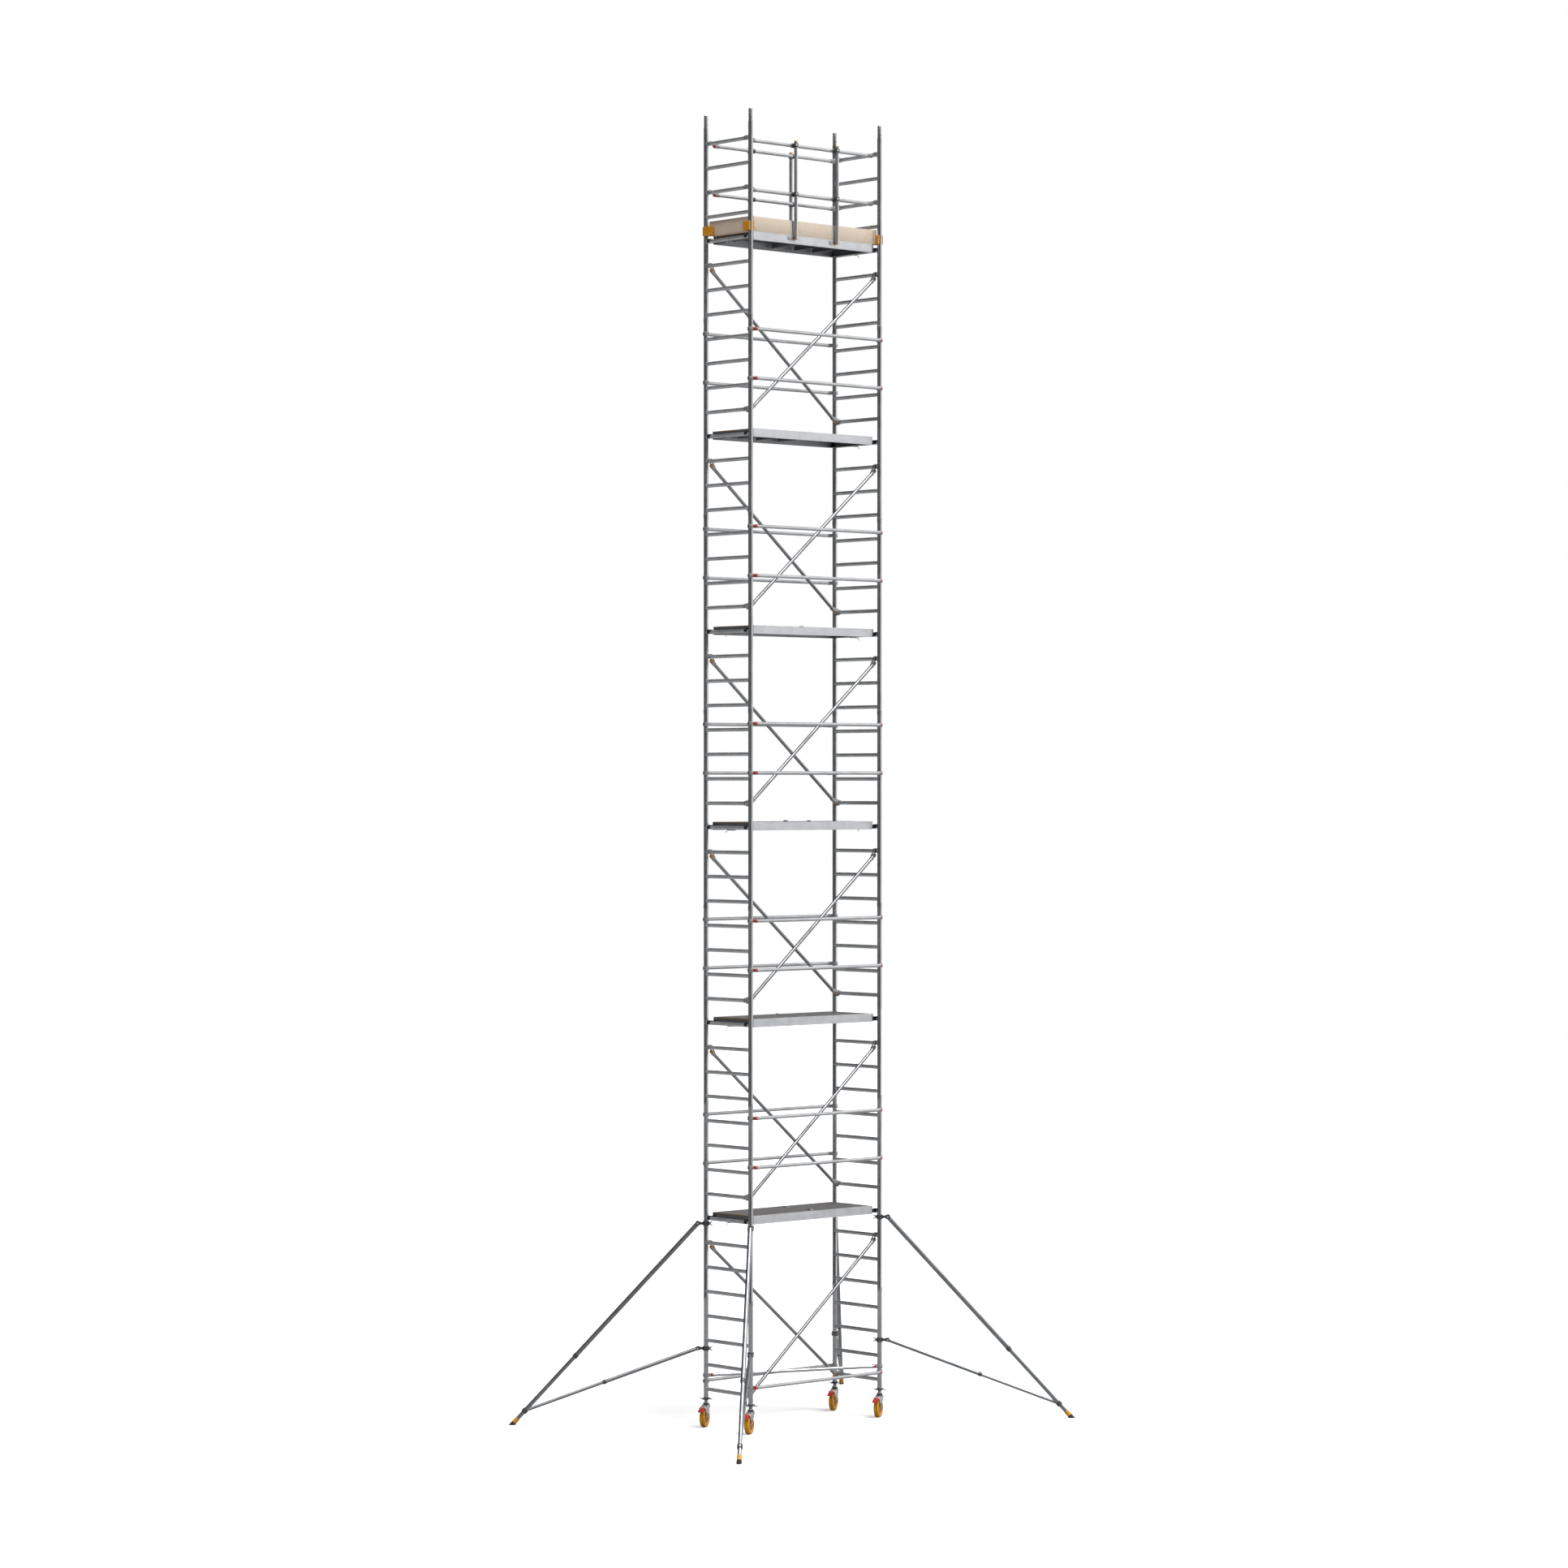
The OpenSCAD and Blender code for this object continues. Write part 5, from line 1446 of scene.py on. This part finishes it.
def stabiliser_arm(i):
    shape = Shape()
    place = in_plane(i)
    for z in (UPPER_CLAMP, LOWER_CLAMP):
        post_coupler(shape, place, z)
    top, foot = plane_point(ELBOW_X, UPPER_CLAMP), plane_point(REACH, 0)
    run = (foot - top).length
    down = place @ along(top, foot)
    inner = INNER_R + 0.3
    lathe(shape, [(inner, 42), (inner, STRUT_LENGTH - 1), (inner + 0.6, STRUT_LENGTH),
                  (STRUT_R - 0.8, STRUT_LENGTH),
                  (STRUT_R, STRUT_LENGTH - 0.8), (STRUT_R, -2), (STRUT_R - 3, -6), (0, -6), (0, 42)],
          down, 44, 0, closed=True)
    fork_joint(shape, place, top, 26)
    lathe(shape, [(STRUT_R + 0.2, STRUT_LENGTH - 46), (STRUT_R + 3.4, STRUT_LENGTH - 45),
                  (STRUT_R + 3.4, STRUT_LENGTH - 5),
                  (STRUT_R + 0.2, STRUT_LENGTH - 4)], down, 44, 1, closed=True)
    snap_hole_button(shape, down @ at(0, 0, STRUT_LENGTH - 25), STRUT_R + 3, 2)
    for share in (0.3, 0.55):
        snap_hole_button(shape, down @ at(0, 0, STRUT_LENGTH * share), STRUT_R - 2, 2)
    start = plane_point(ELBOW_X, LOWER_CLAMP)
    coupling = top + (foot - top).normalized() * (run - COUPLING_BACK)
    lower = place @ along(start, coupling)
    lower_run = (coupling - start).length
    outer_end = lower_run * 0.55
    ring_r = INNER_R + 8
    lathe(shape, [(15.8, 32), (15.8, outer_end), (18.4, outer_end), (19, outer_end - 0.7), (19, -2),
                  (16, -5), (0, -5), (0, 32)], lower, 36, 0, closed=True)
    fork_joint(shape, place, start, 21)
    lathe(shape, [(19.2, outer_end - 40), (21.8, outer_end - 39), (21.8, outer_end - 4),
                  (19.2, outer_end - 3)],
          lower, 36, 1, closed=True)
    snap_hole_button(shape, lower @ at(0, 0, outer_end - 22), 21, 2)
    stop = lower_run - ring_r + 3
    lathe(shape, [(15.5, outer_end - 250), (15.5, stop), (13, stop), (13, outer_end - 250)], lower, 32, 0,
          closed=True)
    leg_coupler(shape, place @ along(coupling, foot), ring_r)
    return shape.piece(f"stabiliser_arm_assembly_{i}", f"arm_{i}", [ALU_STRUT, CAST_DARK, ZINC, ZINC_DULL],
                       "frame_aluminium",
                       [f"stabiliser_arm_{i}"])


def fork_joint(shape, place, point, cheek_r):
    """The elbow: two cheeks and a cross bolt where a tube hangs from its coupler's stub."""
    middle = place @ at(*point)
    outline = arc((0, 0), cheek_r, -100, 80, 14) + [(-28, 13), (-28, -13)]
    for low in (-STRUT_R - 3, STRUT_R - 2):
        prism(shape, outline, low, low + 5, middle, 1, 1.4)
    block(shape, (-32, -STRUT_R - 2, -12), (-24, STRUT_R + 2, 12), middle, 1, 2)
    for s in (-1, 1):
        bolt(shape, middle @ at(0, s * (STRUT_R + 2.6), 0) @ turn(-90 * s, "X"), 7, 5, slot=2)


def leg_coupler(shape, frame_along, ring_r):
    """The cast collar on the leg that the lower brace ends in, with a clamping screw."""
    inner = INNER_R + 0.4
    lathe(shape, [(inner, -22), (ring_r - 2, -22), (ring_r, -20), (ring_r, -8), (ring_r - 1.6, -6),
                  (ring_r - 1.6, 6), (ring_r, 8), (ring_r, 20), (ring_r - 2, 22), (inner, 22)],
          frame_along, 40, 1, closed=True)
    for s in (-1, 1):
        bolt(shape, frame_along @ at(0, s * (ring_r - 2.4), 0) @ turn(-90 * s, "X"), 6, 4.5, slot=2)


def stabiliser_leg(i):
    shape = Shape()
    place = in_plane(i)
    top, foot = plane_point(ELBOW_X, UPPER_CLAMP), plane_point(REACH, 0)
    run = (foot - top).length
    down = place @ along(top, foot)
    start, end = STRUT_LENGTH - 600, run - 40
    lathe(shape, [(INNER_R - 2.5, start + 0.5), (INNER_R - 0.6, start), (INNER_R, start + 0.6),
                  (INNER_R, end), (INNER_R - 2.5, end)],
          down, 44, 0, closed=True)
    hole_step = 75
    n = 0
    while STRUT_LENGTH + 40 + n * hole_step < run - COUPLING_BACK - 60:
        z = STRUT_LENGTH + 40 + n * hole_step
        spot = down @ at(0, 0, z) @ turn(-90, "X")
        lathe(shape, [(5.4, INNER_R - 0.9), (6.2, INNER_R + 0.15), (5.2, INNER_R + 0.35),
                      (4.4, INNER_R - 0.9)],
              spot, 20, 1, closed=True)
        lathe(shape, [(0, INNER_R - 0.8), (4.6, INNER_R - 0.8), (4.6, INNER_R - 0.2), (0, INNER_R - 0.2)],
              spot, 20, 2)
        n += 1
    return shape.piece(f"stabiliser_inner_tube_{i}", f"leg_{i}", [ALU_STRUT, ZINC_DULL, BLACK_PLASTIC],
                       "brace_aluminium",
                       [f"stabiliser_leg_{i}"])


def stabiliser_foot(i):
    """An orange sleeve over a black rubber boot with treads, cut flat on the floor."""
    shape = Shape()
    place = in_plane(i)
    top, foot = plane_point(ELBOW_X, UPPER_CLAMP), plane_point(REACH, 0)
    down = place @ along(top, foot)
    run = (foot - top).length
    r = INNER_R + 5
    inner = INNER_R + 0.3
    sleeve_start, sleeve_end = run - 95, run - 30
    lathe(shape, [(inner, sleeve_start), (r - 2.4, sleeve_start), (r - 0.6, sleeve_start + 2),
                  (r - 0.6, sleeve_end), (inner, sleeve_end)],
          down, 44, 1, closed=True)
    mesh_data = bmesh.new()
    boot = Shape()
    rows = [(0, sleeve_end - 8), (r, sleeve_end - 8)]
    z = sleeve_end
    while z < run + 30:
        rows += [(r, z), (r, z + 5), (r - 1.1, z + 6), (r - 1.1, z + 7.5), (r, z + 8.5)]
        z += 9
    rows += [(r, z), (0, z)]
    lathe(boot, rows, down, 44, 0)
    points = np.concatenate(boot.points)
    verts = [mesh_data.verts.new(p) for p in points]
    for face in boot.faces:
        mesh_data.faces.new([verts[n] for n in face])
    geometry = mesh_data.verts[:] + mesh_data.edges[:] + mesh_data.faces[:]
    cut = bmesh.ops.bisect_plane(mesh_data, geom=geometry, plane_co=(0, 0, 0.0), plane_no=(0, 0, -1),
                                 clear_outer=True)
    rim = [e for e in cut["geom_cut"] if isinstance(e, bmesh.types.BMEdge)]
    bmesh.ops.edgeloop_fill(mesh_data, edges=rim)
    from_bmesh(shape, mesh_data, 0, None)
    return shape.piece(f"stabiliser_boot_{i}", f"leg_{i}", [RUBBER, ORANGE_PLASTIC], "foot_rubber",
                       [f"stabiliser_foot_{i}"])


# ---------------------------------------------------------------- the object

ALU_STRUT = drawn_metal("strut_aluminium", (0.34, 0.35, 0.37), 0.28, "Z", 0.7)

for level in range(LEVELS + 1):
    ladder_frames(level)
snap_buttons()
cap_shape = diagonals()
rails()
orange_parts(cap_shape)
guard_posts()
toe_boards()
for number in range(1, LEVELS + 1):
    platform(number)
    trapdoor(number)
deck_board_set()
wind_hooks()
for corner in CORNERS:
    jack(corner)
    jack_nut(corner)
    fork(corner)
    wheel(corner)
    brake(corner)
    stabiliser_arm(corner)
    stabiliser_leg(corner)
    stabiliser_foot(corner)

# ---------------------------------------------------------------- floor, light and camera

EYE = (-30.754, -33.739, 6.582)     # in metres, like the floor
HEADING = math.radians(47.773)
FORWARD = Vector((math.cos(HEADING), math.sin(HEADING), 0))
RIGHT = Vector((math.sin(HEADING), -math.cos(HEADING), 0))
IMAGE_SIDE = 1932
FOCAL_PIXELS = 5447


def floor():
    """A white studio floor with a faint mottle, 120 m square. Metal reflects it dim."""
    m = Nodes("studio_floor", 0.0, specular=0.1)
    tone = m.ramp(m.noise(0.7, 4), [(0.3, (0.93, 0.93, 0.93)), (0.7, (0.96, 0.96, 0.96))])
    seen = m.tree.nodes.new("ShaderNodeLightPath").outputs["Is Camera Ray"]
    material = m.done(m.mix(seen, (0.34, 0.34, 0.34), tone), 0.9)
    m.link((1, 1, 1), m.shader.inputs["Emission Color"])
    m.link(m.maths("MULTIPLY", seen, 0.2), m.shader.inputs["Emission Strength"])
    size, count = 120, 24
    row = count + 1
    steps = [size * (n / count - 0.5) for n in range(row)]
    points = [(x, y, 0) for x in steps for y in steps]
    corners = [a * row + b for a in range(count) for b in range(count)]
    faces = [(n, n + row, n + row + 1, n + 1) for n in corners]
    mesh = bpy.data.meshes.new("studio_floor")
    mesh.from_pydata(points, [], faces)
    mesh.materials.append(material)
    plane = bpy.data.objects.new("studio_floor", mesh)
    bpy.context.scene.collection.objects.link(plane)


def world():
    """White behind the object. What lights it is bright on the right and dim on the left."""
    made = bpy.data.worlds.new("studio")
    made.use_nodes = True
    tree = made.node_tree
    tree.nodes.clear()

    def node(kind, **inputs):
        new = tree.nodes.new(kind)
        for name, value in inputs.items():
            new.inputs[name].default_value = value
        return new

    where = node("ShaderNodeTexCoord").outputs["Generated"]
    side = node("ShaderNodeVectorMath")
    side.operation = "DOT_PRODUCT"
    side.inputs[1].default_value = (RIGHT + FORWARD * 0.4 + Vector((0, 0, 0.3))).normalized()
    tree.links.new(where, side.inputs[0])
    ramp = node("ShaderNodeValToRGB")
    stops = [(0.0, 0.18), (0.3, 0.05), (0.48, 0.09), (0.65, 0.28), (0.86, 0.95), (1.0, 1.15)]
    while len(ramp.color_ramp.elements) < len(stops):
        ramp.color_ramp.elements.new(0.5)
    for element, (position, value) in zip(ramp.color_ramp.elements, stops):
        element.position = position
        element.color = (value, value, value, 1)
    shifted_side = node("ShaderNodeMath")
    shifted_side.operation = "MULTIPLY_ADD"
    shifted_side.inputs[1].default_value = 0.5
    shifted_side.inputs[2].default_value = 0.5
    tree.links.new(side.outputs["Value"], shifted_side.inputs[0])
    tree.links.new(shifted_side.outputs[0], ramp.inputs["Fac"])
    rays = node("ShaderNodeLightPath")
    lit, seen, mixed = node("ShaderNodeBackground"), node("ShaderNodeBackground"), node("ShaderNodeMixShader")
    tree.links.new(ramp.outputs["Color"], lit.inputs["Color"])
    seen.inputs["Color"].default_value = (1, 1, 1, 1)
    tree.links.new(rays.outputs["Is Camera Ray"], mixed.inputs["Fac"])
    tree.links.new(lit.outputs[0], mixed.inputs[1])
    tree.links.new(seen.outputs[0], mixed.inputs[2])
    out = node("ShaderNodeOutputWorld")
    tree.links.new(mixed.outputs[0], out.inputs["Surface"])
    bpy.context.scene.world = made


def sun(name, direction, strength, softness):
    light = bpy.data.lights.new(name, "SUN")
    light.energy = strength
    light.angle = math.radians(softness)
    lamp = bpy.data.objects.new(name, light)
    lamp.rotation_euler = Vector(direction).to_track_quat("-Z", "Y").to_euler()
    bpy.context.scene.collection.objects.link(lamp)


def camera():
    """The photograph's viewpoint: level, half way up the tower, turned to its near corner."""
    data = bpy.data.cameras.new("photo_camera")
    data.sensor_width = 36
    data.lens = 36 * FOCAL_PIXELS / IMAGE_SIDE
    data.clip_end = 400
    eye = bpy.data.objects.new("photo_camera", data)
    eye.location = EYE
    eye.rotation_euler = FORWARD.to_track_quat("-Z", "Y").to_euler()
    bpy.context.scene.collection.objects.link(eye)
    bpy.context.scene.camera = eye


floor()
world()
sun("key_softbox", FORWARD * 0.3 - RIGHT * 0.4 + Vector((0, 0, -0.9)), 2.1, 30)
sun("fill_softbox", FORWARD * 0.55 + RIGHT * 0.35 + Vector((0, 0, -0.9)), 1.3, 40)
camera()
bpy.context.scene.view_settings.view_transform = "Standard"
